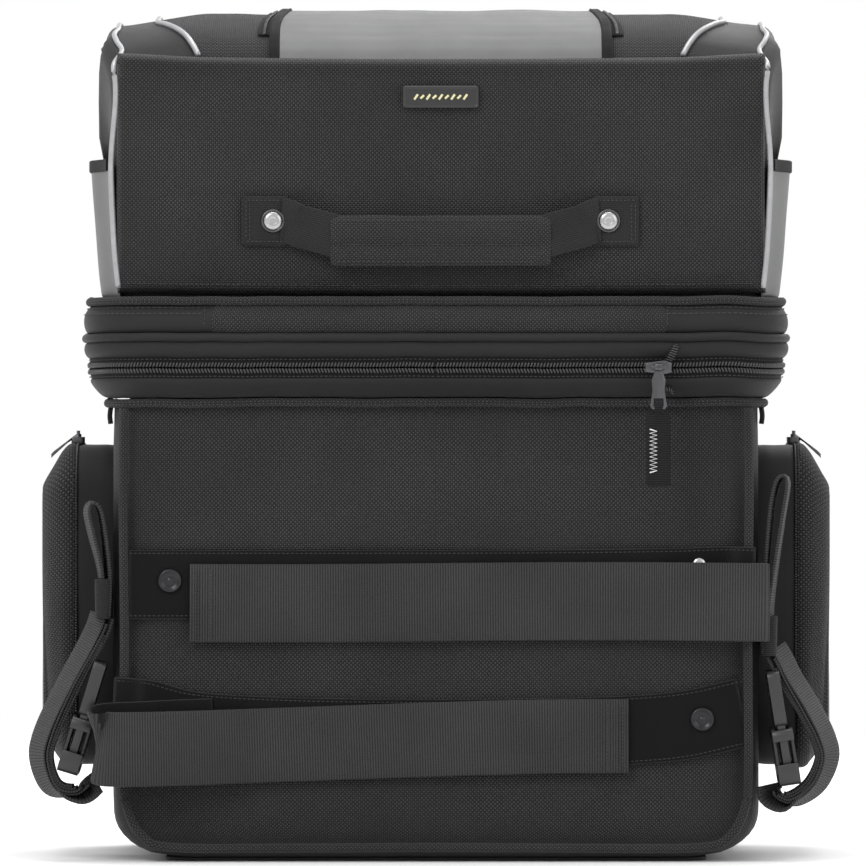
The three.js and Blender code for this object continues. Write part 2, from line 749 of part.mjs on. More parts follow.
// The pull is a plate hanging from a knuckle that turns on the slider's bar.
function pullSolid(length) {
  const knuckle = disc(2.8, 4.6, 14).rotateZ(Math.PI / 2).translate(2.3, 0, 0);
  const bore = disc(1.8, 10, 14).rotateZ(Math.PI / 2).translate(5, 0, 0);
  const half = pullWidth / 2;
  const outline = new THREE.Shape();
  outline.moveTo(-2.2, -2);
  outline.lineTo(-half + 1, -length * 0.3);
  outline.lineTo(-half + 1.6, -length * 0.55);
  outline.lineTo(-half, -length + 2);
  outline.lineTo(-half + 1.5, -length);
  outline.lineTo(half - 1.5, -length);
  outline.lineTo(half, -length + 2);
  outline.lineTo(half - 1.6, -length * 0.55);
  outline.lineTo(half - 1, -length * 0.3);
  outline.lineTo(2.2, -2);
  const slot = box([-3.2, 3.2], [-5, 5], [-length + 2, -length + 7]);
  const plate = extrude("y", outline, -pullThickness / 2, pullThickness / 2);
  return cut(join(plate, knuckle), bore, slot);
}

// The pockets' sliders carry a short pull in one piece with the slider.
function fixedPullSlider() {
  const plate = roundedRect(pullWidth - 3, pocketPullLength, 2, 0, -pocketPullLength / 2 + 2);
  return join(sliderSolid(), extrude("y", plate, -sliderHeight - pullThickness, -sliderHeight + 0.5));
}

// A webbing end looped round the foot bar of the pull, drawn with that bar at the origin.
function pullerSolid() {
  const ringHalf = 2.6;
  const ring = disc(3.3, 2 * ringHalf, 14).rotateZ(Math.PI / 2).translate(ringHalf, 0, 0);
  const bore = disc(2, 20, 14).rotateZ(Math.PI / 2).translate(10, 0, 0);
  const thickness = 1.3;
  const neck = box([-ringHalf, ringHalf], [-thickness, thickness], [-6, -1.5]);
  const tongue = roundedRect(pullerWidth, pullerLength, 2, 0, -4 - pullerLength / 2);
  return cut(join(ring, neck, extrude("y", tongue, -thickness, thickness)), bore);
}

const barOut = sliderHeight + bailReach;

// Each zip states its place, the way it looks out and the way its pull hangs.
const zipRows = [
  {
    name: "expander",
    at: [expanderSliderX, rearY - zipBulge, zipMiddle],
    out: [0, -1, 0],
    hang: [0, 0, -1],
    length: pullLength,
  },
  {
    name: "lid",
    at: [0, halfDepth + lidCordBulge, lidCordLow + cordHeight],
    out: [0, 1, 0],
    hang: [0, 0, -1],
    length: pullLength,
  },
  {
    name: "roll",
    at: [rollShift, flapFrontY, rollLow + flapFoot - zipTapeWidth / 2],
    out: [0, 1, 0],
    hang: [0, 0, -1],
    length: pullLength,
  },
  {
    name: "front_pocket",
    at: [90, halfDepth + frontGussetDepth, frontPocketTop],
    out: [0, 0, 1],
    hang: [0, 1, 0],
  },
  {
    name: "side_pocket",
    tail: "_left",
    at: [-halfWidth - sideGussetDepth, sidePocketY - 40, sidePocketTop],
    out: [0, 0, 1],
    hang: [-1, 0, 0],
  },
  {
    name: "side_pocket",
    tail: "_right",
    at: [halfWidth + sideGussetDepth, sidePocketY - 40, sidePocketTop],
    out: [0, 0, 1],
    hang: [1, 0, 0],
  },
];

function buildZips() {
  for (const { name, tail = "", at, out, hang, length } of zipRows) {
    const run = new THREE.Vector3(...out).cross(new THREE.Vector3(...hang));
    const frame = new THREE.Group();
    const directions = [run, new THREE.Vector3(...out).negate(), new THREE.Vector3(...hang).negate()];
    frame.applyMatrix4(new THREE.Matrix4().makeBasis(...directions));
    frame.position.set(...at).addScaledVector(new THREE.Vector3(...out), seamGap);
    bag.add(frame);
    if (!length) {
      add(`${name}_slider${tail}`, fixedPullSlider(), darkMetal, frame);
      continue;
    }
    add(`${name}_slider${tail}`, sliderSolid(), darkMetal, frame);
    add(`${name}_pull${tail}`, pullSolid(length), darkMetal, frame).position.y = -barOut;
    if (name !== "expander") continue;
    const puller = add("expander_puller", pullerSolid(), webbing, frame);
    puller.position.set(0, -barOut, -length + 1);
  }
}

buildMainBag();
buildExpansion();
buildLid();
buildRollBag();
buildRollFlap();
buildHandle();
buildBackrestStraps();
buildSideStraps();
buildPockets();
buildZips();

export default bag;
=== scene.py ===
import math
import bpy
import bmesh
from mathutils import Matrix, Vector, noise


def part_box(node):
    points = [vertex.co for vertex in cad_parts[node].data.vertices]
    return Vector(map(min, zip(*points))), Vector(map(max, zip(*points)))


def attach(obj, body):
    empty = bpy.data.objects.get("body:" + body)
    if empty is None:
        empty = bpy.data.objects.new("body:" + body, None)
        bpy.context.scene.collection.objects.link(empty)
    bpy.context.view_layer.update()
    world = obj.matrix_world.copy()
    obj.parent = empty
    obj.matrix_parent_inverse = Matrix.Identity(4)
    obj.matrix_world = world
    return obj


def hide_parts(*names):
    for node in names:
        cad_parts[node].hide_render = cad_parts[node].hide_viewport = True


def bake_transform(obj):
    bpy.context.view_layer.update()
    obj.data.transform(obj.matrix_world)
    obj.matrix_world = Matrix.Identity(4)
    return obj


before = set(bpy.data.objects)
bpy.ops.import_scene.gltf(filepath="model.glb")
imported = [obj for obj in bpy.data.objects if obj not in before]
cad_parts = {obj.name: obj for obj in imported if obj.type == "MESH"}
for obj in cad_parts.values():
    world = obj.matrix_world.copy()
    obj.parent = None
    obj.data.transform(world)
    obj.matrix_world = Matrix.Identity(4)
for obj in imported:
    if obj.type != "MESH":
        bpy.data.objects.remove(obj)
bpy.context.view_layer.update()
mm = 0.001

# ---- places taken from the frame, in millimetres ----


def boxOf(node):
    low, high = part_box(node)
    return [v / mm for v in low], [v / mm for v in high]


bodyLow, bodyHigh = boxOf("body_shell")
halfWide = (bodyHigh[0] - bodyLow[0]) / 2
halfDeep = (bodyHigh[1] - bodyLow[1]) / 2
rearY = bodyLow[1]
topZ = bodyHigh[2]


def wobble(x, y, z, size, seed=0.0):
    # smooth noise between about -1 and 1, size in millimetres
    return noise.noise(Vector((x / size + seed, y / size - seed, z / size + 2 * seed)))


def smooth(t):
    t = min(max(t, 0.0), 1.0)
    return t * t * (3 - 2 * t)


def bump(x, middle, half):
    # 1 at the middle, falling smoothly to 0 at half away
    return smooth(1 - abs(x - middle) / half)


# ---- materials ----


def newMaterial(name, color, roughness, **sockets):
    material = bpy.data.materials.new(name)
    material.use_nodes = True
    shader = material.node_tree.nodes["Principled BSDF"]
    shader.inputs["Base Color"].default_value = (*color, 1)
    shader.inputs["Roughness"].default_value = roughness
    for key, value in sockets.items():
        shader.inputs[key.replace("_", " ")].default_value = value
    return material, shader


def node(tree, kind, **settings):
    made = tree.nodes.new("ShaderNode" + kind)
    for key, value in settings.items():
        setattr(made, key, value)
    return made


def math2(tree, operation, a, b=None):
    made = node(tree, "Math", operation=operation)
    for socket, value in zip(made.inputs, (a, b)):
        if value is None:
            continue
        if isinstance(value, (int, float)):
            socket.default_value = value
        else:
            tree.links.new(value, socket)
    return made.outputs[0]


def clothSpace(tree):
    # millimetres along the cloth, from the piece's own flat layout
    layout = node(tree, "UVMap", uv_map="cloth")
    split = node(tree, "SeparateXYZ")
    tree.links.new(layout.outputs[0], split.inputs[0])
    return split.outputs[0], split.outputs[1]


def weaveHeight(tree, pitch, paintedWarpShade=0.3):
    # plain weave: neighbouring cells show the warp or the weft on top
    u, v = clothSpace(tree)
    pu = math2(tree, "MULTIPLY", u, math.pi / pitch)
    pv = math2(tree, "MULTIPLY", v, math.pi / pitch)
    su, sv = math2(tree, "SINE", pu), math2(tree, "SINE", pv)
    parity = math2(tree, "GREATER_THAN", math2(tree, "MULTIPLY", su, sv), 0)
    au, av = math2(tree, "ABSOLUTE", su), math2(tree, "ABSOLUTE", sv)
    warp = math2(tree, "MULTIPLY", math2(tree, "POWER", au, 0.5), av)
    weft = math2(tree, "MULTIPLY", math2(tree, "POWER", av, 0.5), au)
    mixed = node(tree, "Mix", data_type="FLOAT")
    tree.links.new(parity, mixed.inputs[0])
    tree.links.new(warp, mixed.inputs[2])
    tree.links.new(weft, mixed.inputs[3])
    # the second output is painted light: the weave's height used as colour, a painted highlight on the thread
    # tops and painted shade in the hollows, darker still on the cells where the warp lies on top
    shade = node(tree, "Mix", data_type="FLOAT")
    tree.links.new(parity, shade.inputs[0])
    tree.links.new(math2(tree, "MULTIPLY", warp, paintedWarpShade), shade.inputs[2])
    tree.links.new(weft, shade.inputs[3])
    return mixed.outputs[0], shade.outputs[0]


def ribHeight(tree, pitch, across=False, cross=0.25):
    u, v = clothSpace(tree)

    def ribs(place, spacing):
        wave = math2(tree, "SINE", math2(tree, "MULTIPLY", place, math.pi / spacing))
        return math2(tree, "ABSOLUTE", wave)

    along = ribs(v if across else u, pitch)
    fine = ribs(u if across else v, pitch * 0.8)
    total = math2(tree, "ADD", along, math2(tree, "MULTIPLY", fine, cross))
    # the same height also serves as colour: painted highlight on the rib tops, painted shade in the grooves
    return total, total


def noiseOf(tree, scale, detail):
    place = node(tree, "TexCoord")
    made = node(tree, "TexNoise")
    made.inputs["Scale"].default_value = scale
    made.inputs["Detail"].default_value = detail
    tree.links.new(place.outputs["Object"], made.inputs["Vector"])
    return made.outputs[0]


def rampOf(tree, source, low, high, lowAt=0.0, highAt=1.0):
    made = node(tree, "ValToRGB")
    for element, color, position in zip(made.color_ramp.elements, (low, high), (lowAt, highAt)):
        element.position = position
        element.color = (*color, 1)
    tree.links.new(source, made.inputs[0])
    return made.outputs[0]


def reliefOn(tree, shader, height, distance, strength):
    made = node(tree, "Bump")
    made.inputs["Strength"].default_value = strength
    made.inputs["Distance"].default_value = distance * mm
    tree.links.new(height, made.inputs["Height"])
    tree.links.new(made.outputs[0], shader.inputs["Normal"])


def finishCloth(material, shader, weave, depth, paintedHollowShade, paintedTopHighlight, patch=60.0, strength=1.0, fuzz=0.0):
    # colour from the height of the weave, painted as highlight on the thread tops and shade in the hollows,
    # and from slow dusty patches, and the weave as relief
    tree = material.node_tree
    height, shade = weave
    slow = noiseOf(tree, 1000 / patch, 5)
    fine = noiseOf(tree, 900, 2)
    lifted = math2(tree, "MULTIPLY_ADD", shade, 0.85)
    grain = math2(tree, "MULTIPLY_ADD", fine, 0.44)
    tree.links.new(grain, lifted.node.inputs[2])
    grain.node.inputs[2].default_value = -0.15
    dustAndPaintedWeaveLight = node(tree, "Mix", data_type="RGBA", blend_type="MULTIPLY")
    # the weave's painted highlight and painted shade, multiplied by the slow dust patches
    tree.links.new(rampOf(tree, lifted, paintedHollowShade, paintedTopHighlight, 0.1, 0.95), dustAndPaintedWeaveLight.inputs[6])
    tree.links.new(rampOf(tree, slow, [0.78] * 3, [1.12] * 3, 0.3, 0.75), dustAndPaintedWeaveLight.inputs[7])
    dustAndPaintedWeaveLight.inputs[0].default_value = 1
    tree.links.new(dustAndPaintedWeaveLight.outputs[2], shader.inputs["Base Color"])
    total = math2(tree, "ADD", height, math2(tree, "MULTIPLY", fine, 0.35 + fuzz))
    reliefOn(tree, shader, total, depth, strength)
    return material


# per cloth: weave pitch and relief depth, the painted shade tone of the weave's hollows, the painted
# highlight tone of its thread tops, roughness, sheen and an optional gloss
clothLooks = {
    "cordura": dict(pitch=1.35, depth=0.6, paintedHollowShade=0.0045, paintedTopHighlight=0.062, roughness=0.72, sheen=0.06, gloss=0.22),
    "nylon": dict(pitch=0.5, depth=0.1, paintedHollowShade=0.009, paintedTopHighlight=0.0145, roughness=0.5, sheen=0.06, gloss=0.2),
    "lining": dict(pitch=0.7, depth=0.1, paintedHollowShade=0.03, paintedTopHighlight=0.05, roughness=0.75, sheen=0.05),
    "loopBase": dict(pitch=0.6, depth=0.3, paintedHollowShade=0.002, paintedTopHighlight=0.007, roughness=0.95, sheen=0.12),
    "webRib": dict(pitch=1.7, depth=0.55, paintedHollowShade=0.0045, paintedTopHighlight=0.034, roughness=0.66, sheen=0.05, gloss=0.22),
    "webPlain": dict(pitch=1.3, depth=0.4, paintedHollowShade=0.005, paintedTopHighlight=0.024, roughness=0.75, sheen=0.05),
    "greyCloth": dict(pitch=0.5, depth=0.06, paintedHollowShade=0.085, paintedTopHighlight=0.108, roughness=0.4, sheen=0.03, gloss=0.4),
    "pullerWeb": dict(pitch=1.5, depth=0.4, paintedHollowShade=0.0025, paintedTopHighlight=0.011, roughness=0.7, sheen=0.04),
    "binding": dict(pitch=0.8, depth=0.2, paintedHollowShade=0.004, paintedTopHighlight=0.012, roughness=0.7, sheen=0.05),
}


def buildCloths():
    made = {}
    for name, look in clothLooks.items():
        material, shader = newMaterial(name, [look["paintedTopHighlight"]] * 3, look["roughness"],
                                       Sheen_Weight=look["sheen"])
        shader.inputs["Sheen Roughness"].default_value = 0.45
        shader.inputs["Specular IOR Level"].default_value = look.get("gloss", 0.12)
        tree = material.node_tree
        if name == "webRib":
            height = ribHeight(tree, look["pitch"])
        elif name == "webPlain":
            height = ribHeight(tree, look["pitch"], across=True, cross=0.5)
        elif name == "pullerWeb":
            height = ribHeight(tree, look["pitch"], across=True, cross=0.15)
        else:
            height = weaveHeight(tree, look["pitch"])
        # tones of the weave's painted shade in the hollows and painted highlight on the thread tops, a touch
        # bluer
        paintedHollowShade = [look["paintedHollowShade"] * f for f in (1, 1, 1.03)]
        paintedTopHighlight = [look["paintedTopHighlight"] * f for f in (1, 1, 1.03)]
        fuzz = 0.8 if name == "loopBase" else 0.0
        made[name] = finishCloth(material, shader, height, look["depth"], paintedHollowShade, paintedTopHighlight, fuzz=fuzz)
    return made


def grained(name, color, roughness, scale=220, depth=0.05, spread=0.12, **sockets):
    # plastic, rubber or metal with a fine grain and uneven gloss
    material, shader = newMaterial(name, color, roughness, **sockets)
    tree = material.node_tree
    grain = noiseOf(tree, scale, 6)
    gloss = node(tree, "MapRange")
    gloss.inputs["To Min"].default_value = roughness - spread
    gloss.inputs["To Max"].default_value = roughness + spread
    tree.links.new(grain, gloss.inputs["Value"])
    tree.links.new(gloss.outputs[0], shader.inputs["Roughness"])
    tint = rampOf(tree, grain, [c * 0.8 for c in color], [min(c * 1.2, 1) for c in color])
    tree.links.new(tint, shader.inputs["Base Color"])
    reliefOn(tree, shader, grain, depth, 0.5)
    return material


cloths = buildCloths()
cordura, nylon, lining = cloths["cordura"], cloths["nylon"], cloths["lining"]
loopBase, webRib, webPlain = cloths["loopBase"], cloths["webRib"], cloths["webPlain"]
greyCloth, binding = cloths["greyCloth"], cloths["binding"]
silverPiping = grained("silverPiping", (0.3, 0.3, 0.31), 0.36, 160, 0.08, Metallic=0.3)
threadDark = grained("threadDark", (0.028, 0.028, 0.03), 0.6, 900, 0.05)
threadPale = grained("threadPale", (0.75, 0.75, 0.74), 0.7, 900, 0.05)
coilPlastic = grained("coilPlastic", (0.02, 0.02, 0.021), 0.3, 500, 0.03)
bucklePlastic = grained("bucklePlastic", (0.016, 0.016, 0.017), 0.38, 700, 0.05)
matRubber = grained("matRubber", (0.012, 0.012, 0.012), 0.65, 400, 0.2)
badgeRubber = grained("badgeRubber", (0.012, 0.012, 0.012), 0.4, 500, 0.05)
brightSteel = grained("brightSteel", (0.4, 0.4, 0.4), 0.3, 300, 0.02, 0.08, Metallic=1.0)
gunMetal = grained("gunMetal", (0.085, 0.085, 0.09), 0.33, 300, 0.03, 0.1, Metallic=1.0)
snapMetal = grained("snapMetal", (0.03, 0.03, 0.032), 0.3, 300, 0.03, 0.08, Metallic=0.9)
badgeMark = grained("badgeMark", (0.55, 0.52, 0.3), 0.5, 300, 0.03)
print("materials made")

# ---- mesh makers ----


def finishPiece(name, data, body, materials, replaced=(), subdiv=0, shell=0.0):
    for material in materials:
        data.materials.append(material)
    data.shade_smooth()
    piece = bpy.data.objects.new(name, data)
    bpy.context.collection.objects.link(piece)
    if shell:
        thicken = piece.modifiers.new("cloth", "SOLIDIFY")
        thicken.thickness = shell * mm
        thicken.offset = -1
    if subdiv:
        finer = piece.modifiers.new("smooth", "SUBSURF")
        finer.levels = finer.render_levels = subdiv
    if body:
        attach(piece, body)
    if replaced:
        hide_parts(*replaced)
    return piece


def gridMesh(name, rows, closeU=False, closeV=False, pick=None, skip=None, flip=False, capLow=False,
             capHigh=False,
             flat=None):
    # rows of points in millimetres; the cloth layout follows the lengths along rows and between them,
    # or lies flat on the two axes named by flat
    count, across = len(rows), len(rows[0])
    data = bpy.data.meshes.new(name)
    verts = [tuple(c * mm for c in p) for row in rows for p in row]
    spanV = count if closeV else count - 1
    spanU = across if closeU else across - 1
    faces, layout, indexes = [], [], []
    middle = rows[count // 2]
    uAt, vAt = [0.0], [0.0]
    for i in range(spanU):
        a, b = middle[i], middle[(i + 1) % across]
        uAt.append(uAt[-1] + math.dist(a, b))
    probe = across // 4
    for j in range(spanV):
        vAt.append(vAt[-1] + math.dist(rows[j][probe], rows[(j + 1) % count][probe]))
    for j in range(spanV):
        for i in range(spanU):
            if skip and skip(i, j):
                continue
            n, m = (i + 1) % across, (j + 1) % count
            ring = [(j * across + i, uAt[i], vAt[j]), (j * across + n, uAt[i + 1], vAt[j]),
                    (m * across + n, uAt[i + 1], vAt[j + 1]), (m * across + i, uAt[i], vAt[j + 1])]
            if flip:
                ring.reverse()
            faces.append([r[0] for r in ring])
            layout += [(r[1], r[2]) for r in ring]
            indexes.append(pick(i, j) if pick else 0)
    for wanted, j in ((capLow, 0), (capHigh, count - 1)):
        if wanted:
            ring = [j * across + i for i in range(across)]
            if (j == 0) != flip:
                ring.reverse()
            # a long ring is closed by a strip of four-sided faces, which stay quick to subdivide
            strip = across % 2 == 0 and across > 60
            closing = [(ring[i], ring[i + 1], ring[-2 - i], ring[-1 - i])
                       for i in range(across // 2 - 1)] if strip else [ring]
            for face in closing:
                faces.append(face)
                layout += [(verts[k][0] / mm, verts[k][1] / mm) for k in face]
                indexes.append(pick(0, j) if pick else 0)
    data.from_pydata(verts, [], faces)
    if flat:
        layout = [(verts[k][flat[0]] / mm, verts[k][flat[1]] / mm) for face in faces for k in face]
    table = data.uv_layers.new(name="cloth")
    table.data.foreach_set("uv", [c for uv in layout for c in uv])
    data.polygons.foreach_set("material_index", indexes)
    used = bmesh.new()
    used.from_mesh(data)
    bmesh.ops.delete(used, geom=[v for v in used.verts if not v.link_faces], context="VERTS")
    used.to_mesh(data)
    used.free()
    return data


def curvePoints(points, spacing=4.0, closed=False):
    # a smooth line through the points, with even steps
    pts = [Vector(p) for p in points]
    count = len(pts)
    dense = []
    for i in range(count if closed else count - 1):
        p0 = pts[(i - 1) % count] if closed or i else pts[0] * 2 - pts[1]
        p1, p2 = pts[i], pts[(i + 1) % count]
        p3 = pts[(i + 2) % count] if closed or i + 2 < count else pts[-1] * 2 - pts[-2]
        for k in range(12):
            t = k / 12
            dense.append(0.5 * (2 * p1 + (p2 - p0) * t + (2 * p0 - 5 * p1 + 4 * p2 - p3) * t * t
                                + (3 * p1 - p0 - 3 * p2 + p3) * t ** 3))
    dense.append(dense[0].copy() if closed else pts[-1])
    lengths = [0.0]
    for a, b in zip(dense, dense[1:]):
        lengths.append(lengths[-1] + (b - a).length)
    steps = max(int(round(lengths[-1] / spacing)), 2)
    result, k = [], 0
    for i in range(steps + (0 if closed else 1)):
        target = lengths[-1] * i / steps
        while k < len(lengths) - 2 and lengths[k + 1] < target:
            k += 1
        span = max(lengths[k + 1] - lengths[k], 1e-9)
        result.append(dense[k].lerp(dense[k + 1], (target - lengths[k]) / span))
    return result


def tubeMesh(name, line, radius, closed=False, sides=10, twistUp=(0, 0, 1)):
    # a round cord along a line of points
    rows = []
    count = len(line)
    for i, p in enumerate(line):
        before = line[(i - 1) % count] if closed or i else line[0]
        after = line[(i + 1) % count] if closed or i < count - 1 else line[-1]
        along = (after - before).normalized()
        side = along.cross(Vector(twistUp))
        if side.length < 0.2:
            side = along.cross(Vector((0, 1, 0)))
        side.normalize()
        up = side.cross(along).normalized()
        rows.append([p + side * math.cos(a) * radius + up * math.sin(a) * radius
                     for a in (2 * math.pi * k / sides for k in range(sides))])
    return gridMesh(name, rows, closeU=True, closeV=closed, capLow=not closed, capHigh=not closed)


def bandMesh(name, line, across, width, thickness, closed=False, wave=None, pick=None):
    # flat webbing along a line; across(i) is the direction of its width
    rows = []
    count = len(line)
    half = width / 2
    edge = thickness * 0.45
    section = [(-half, 0), (-half + edge * 0.4, 0.8), (-half + edge, 1)]
    section += [(-half + edge + (width - 2 * edge) * k / 6, 1) for k in range(1, 6)]
    section += [(half - edge, 1), (half - edge * 0.4, 0.8), (half, 0)]
    section += [(w, -h) for w, h in reversed(section[1:-1])]
    for i, p in enumerate(line):
        before = line[(i - 1) % count] if closed or i else line[0]
        after = line[(i + 1) % count] if closed or i < count - 1 else line[-1]
        along = (after - before).normalized()
        wide = Vector(across(i) if callable(across) else across)
        wide = (wide - along * wide.dot(along)).normalized()
        out = along.cross(wide).normalized()
        row = []
        for w, h in section:
            lift = wave(i / (count - 1), w / half) if wave else 0
            row.append(p + wide * w + out * (h * thickness / 2 + lift))
        rows.append(row)
    # the layout runs along the band, so the ribs cross it
    data = gridMesh(name, rows, closeU=True, closeV=closed, capLow=not closed, capHigh=not closed, pick=pick)
    layer = data.uv_layers["cloth"].data
    for loop in layer:
        loop.uv = (loop.uv[1], loop.uv[0])
    return data


def latheMesh(name, profile, place, axis, sides=32):
    # profile of (radius, height) pairs, turned about axis through place
    turn = Vector((0, 0, 1)).rotation_difference(Vector(axis)).to_matrix()
    rows = [[Vector(place) + turn @ Vector((r * math.cos(a), r * math.sin(a), h))
             for a in (2 * math.pi * k / sides for k in range(sides))] for r, h in profile]
    return gridMesh(name, rows, closeU=True, capLow=True, capHigh=True)


def joinMeshes(name, parts):
    # parts of one material each, kept as separate islands of one mesh
    data = bpy.data.meshes.new(name)
    sheet = bmesh.new()
    for part in parts:
        sheet.from_mesh(part)
    sheet.to_mesh(data)
    sheet.free()
    return data


def evenSpots(line, pitch):
    # walks a line at an even pitch: index of the point before, that point, the next one,
    # and the share of the way between them
    total = [0.0]
    for a, b in zip(line, line[1:]):
        total.append(total[-1] + (b - a).length)
    k = 0
    for n in range(int(total[-1] / pitch)):
        target = (n + 0.5) * pitch
        while k < len(total) - 2 and total[k + 1] < target:
            k += 1
        yield k, line[k], line[k + 1], (target - total[k]) / max(total[k + 1] - total[k], 1e-9)


def plainMesh(name, verts, faces):
    data = bpy.data.meshes.new(name)
    data.from_pydata(verts, [], faces)
    data.uv_layers.new(name="cloth")
    return data


def stitchMesh(name, line, normal, pitch=3.2, length=2.2, radius=0.34, sink=0.1):
    # a row of separate thread stitches lying along a line of points
    verts, faces = [], []
    for _, a, b, share in evenSpots(line, pitch):
        along = (b - a).normalized()
        up = Vector(normal(a) if callable(normal) else normal).normalized()
        side = along.cross(up).normalized()
        centre = a.lerp(b, share) + up * (radius * 0.4 - sink)
        base = len(verts)
        for e, r in ((-0.5, 0.25), (-0.3, 1), (0.3, 1), (0.5, 0.25)):
            for c, s in ((1, 0), (0, 1), (-1, 0), (0, -1)):
                point = centre + along * (e * length) + side * (c * radius * r) + up * (s * radius * r)
                verts.append(point * mm)
        for ring in range(3):
            for q in range(4):
                i, j = base + ring * 4 + q, base + ring * 4 + (q + 1) % 4
                faces.append([i, j, j + 4, i + 4])
        faces.append([base + q for q in (3, 2, 1, 0)])
        faces.append([base + 12 + q for q in range(4)])
    return plainMesh(name, verts, faces)


def addStitches(name, body, lines, normal, **settings):
    parts = [stitchMesh(name, line, normal, **settings) for line in lines]
    return finishPiece(name, joinMeshes(name, parts), body, [threadDark])


def planRing(halfX, halfY, radius, count, centre=(0, 0)):
    # points of a rounded rectangle seen from above, from the middle of the rear side towards +x
    straightX, straightY = halfX - radius, halfY - radius
    quarter = math.pi * radius / 2
    runs = [straightX, quarter, 2 * straightY, quarter, 2 * straightX, quarter, 2 * straightY, quarter,
            straightX]
    total = sum(runs)
    points = []
    for i in range(count):
        s = total * i / count
        k = 0
        while s > runs[k] and k < 8:
            s -= runs[k]
            k += 1
        if k % 2:
            turn = math.pi * (k - 3) / 4 + (s / radius if radius else 0)
            nx, ny = math.cos(turn), math.sin(turn)
            cornerX = straightX if k < 4 else -straightX
            cornerY = straightY if 2 < k < 6 else -straightY
            p = (cornerX + radius * nx, cornerY + radius * ny, nx, ny)
        else:
            p = ((s, -halfY, 0, -1), (halfX, s - straightY, 1, 0), (straightX - s, halfY, 0, 1),
                 (-halfX, straightY - s, -1, 0), (s - straightX, -halfY, 0, -1))[k // 2]
        points.append((p[0] + centre[0], p[1] + centre[1], p[2], p[3]))
    return points


# ---- camera, light and floor ----

view = dict(distance=6000, height=279, aimX=-2, span=563, lens=135)


def buildView():
    camera = bpy.data.objects.new("camera", bpy.data.cameras.new("camera"))
    bpy.context.collection.objects.link(camera)
    camera.location = (view["aimX"] * mm, (rearY - view["distance"]) * mm, view["height"] * mm)
    camera.rotation_euler = (math.pi / 2, 0, 0)
    camera.data.lens = view["lens"]
    camera.data.sensor_width = view["span"] / view["distance"] * view["lens"]
    camera.data.clip_end = 50
    bpy.context.scene.camera = camera

    rows = [[(r * math.cos(2 * math.pi * k / 64), r * math.sin(2 * math.pi * k / 64), 0) for k in range(64)]
            for r in (1, 300, 800, 1500, 2400)]
    floor = gridMesh("floor", rows, closeU=True, flip=True, capLow=True)
    pale, _ = newMaterial("paleFloor", (0.86, 0.86, 0.86), 0.7)
    floor.materials.append(pale)
    floor.shade_smooth()
    stage = bpy.data.objects.new("floor", floor)
    bpy.context.collection.objects.link(stage)

    world = bpy.data.worlds.new("studio")
    bpy.context.scene.world = world
    world.use_nodes = True
    world.node_tree.nodes["Background"].inputs[0].default_value = (1, 1, 1, 1)
    world.node_tree.nodes["Background"].inputs[1].default_value = 1.0
    # name, place in metres, size, power
    for name, place, size, power in (
        ("key", (-1.9, -2.6, 2.6), 1.4, 62),
        ("fill", (2.3, -2.4, 1.6), 2.0, 22),
        ("top", (0.0, 0.2, 3.0), 1.8, 55),
        ("rim", (1.2, 2.4, 2.2), 1.5, 30),
    ):
        lamp = bpy.data.lights.new(name, "AREA")
        lamp.size = size
        lamp.energy = power
        holder = bpy.data.objects.new(name, lamp)
        holder.location = place
        holder.rotation_euler = (Vector((0, 0, 0.28)) - Vector(place)).to_track_quat("-Z", "Y").to_euler()
        bpy.context.collection.objects.link(holder)
    bpy.context.scene.view_settings.view_transform = "Standard"


buildView()
print("view made")

# ---- main bag ----

mainBag = dict(around=260, rows=46, footX=40, footZ=30, footY=14, bulge=3.0, wrinkle=1.6)


def mainSurface(ring, z, inset=0.0):
    # ring is (x, y, outward x, outward y) on the bag's plan; returns the cloth's point at a height
    x, y, nx, ny = ring
    t = min(max((z - bodyLow[2]) / mainBag["footZ"], 0), 1)
    tuck = 1 - math.sqrt(max(1 - (1 - t) ** 2, 0))
    up = (z - bodyLow[2]) / (topZ - bodyLow[2])
    swell = mainBag["bulge"] * math.sin(math.pi * min(max(up, 0), 1)) ** 0.7
    onSide = abs(nx) > 0.7
    if onSide:
        swell *= 0.5
    elif ny < -0.5:
        swell *= smooth((z - 196) / 40)
    middle = 1 - (abs(x) / halfWide) ** 4 if not onSide else 1 - (abs(y) / halfDeep) ** 4
    folds = wobble(x, y, z * 1.6, 85, 3.1) * 1.3 + wobble(x, y, z * 2.2, 34, 7.7) * 0.5
    strapPull = 0.0
    if ny < -0.9:
        strapPull = 1.0 * bump(z, 235, 45) * middle - 1.4 * bump(z, 20, 24) - 0.4 * bump(z, 128, 30)
    edge = smooth((topZ - z) / 30) * smooth((z - bodyLow[2]) / 20)
    out = (swell * middle + folds * mainBag["wrinkle"] * 0.6 * middle + strapPull) * edge - inset
    px = x + nx * out - math.copysign(mainBag["footX"] * tuck * min(1, (abs(x) / halfWide) ** 3), x)
    py = y + ny * out - math.copysign(mainBag["footY"] * tuck * min(1, (abs(y) / halfDeep) ** 2), y)
    return (px, py, z)


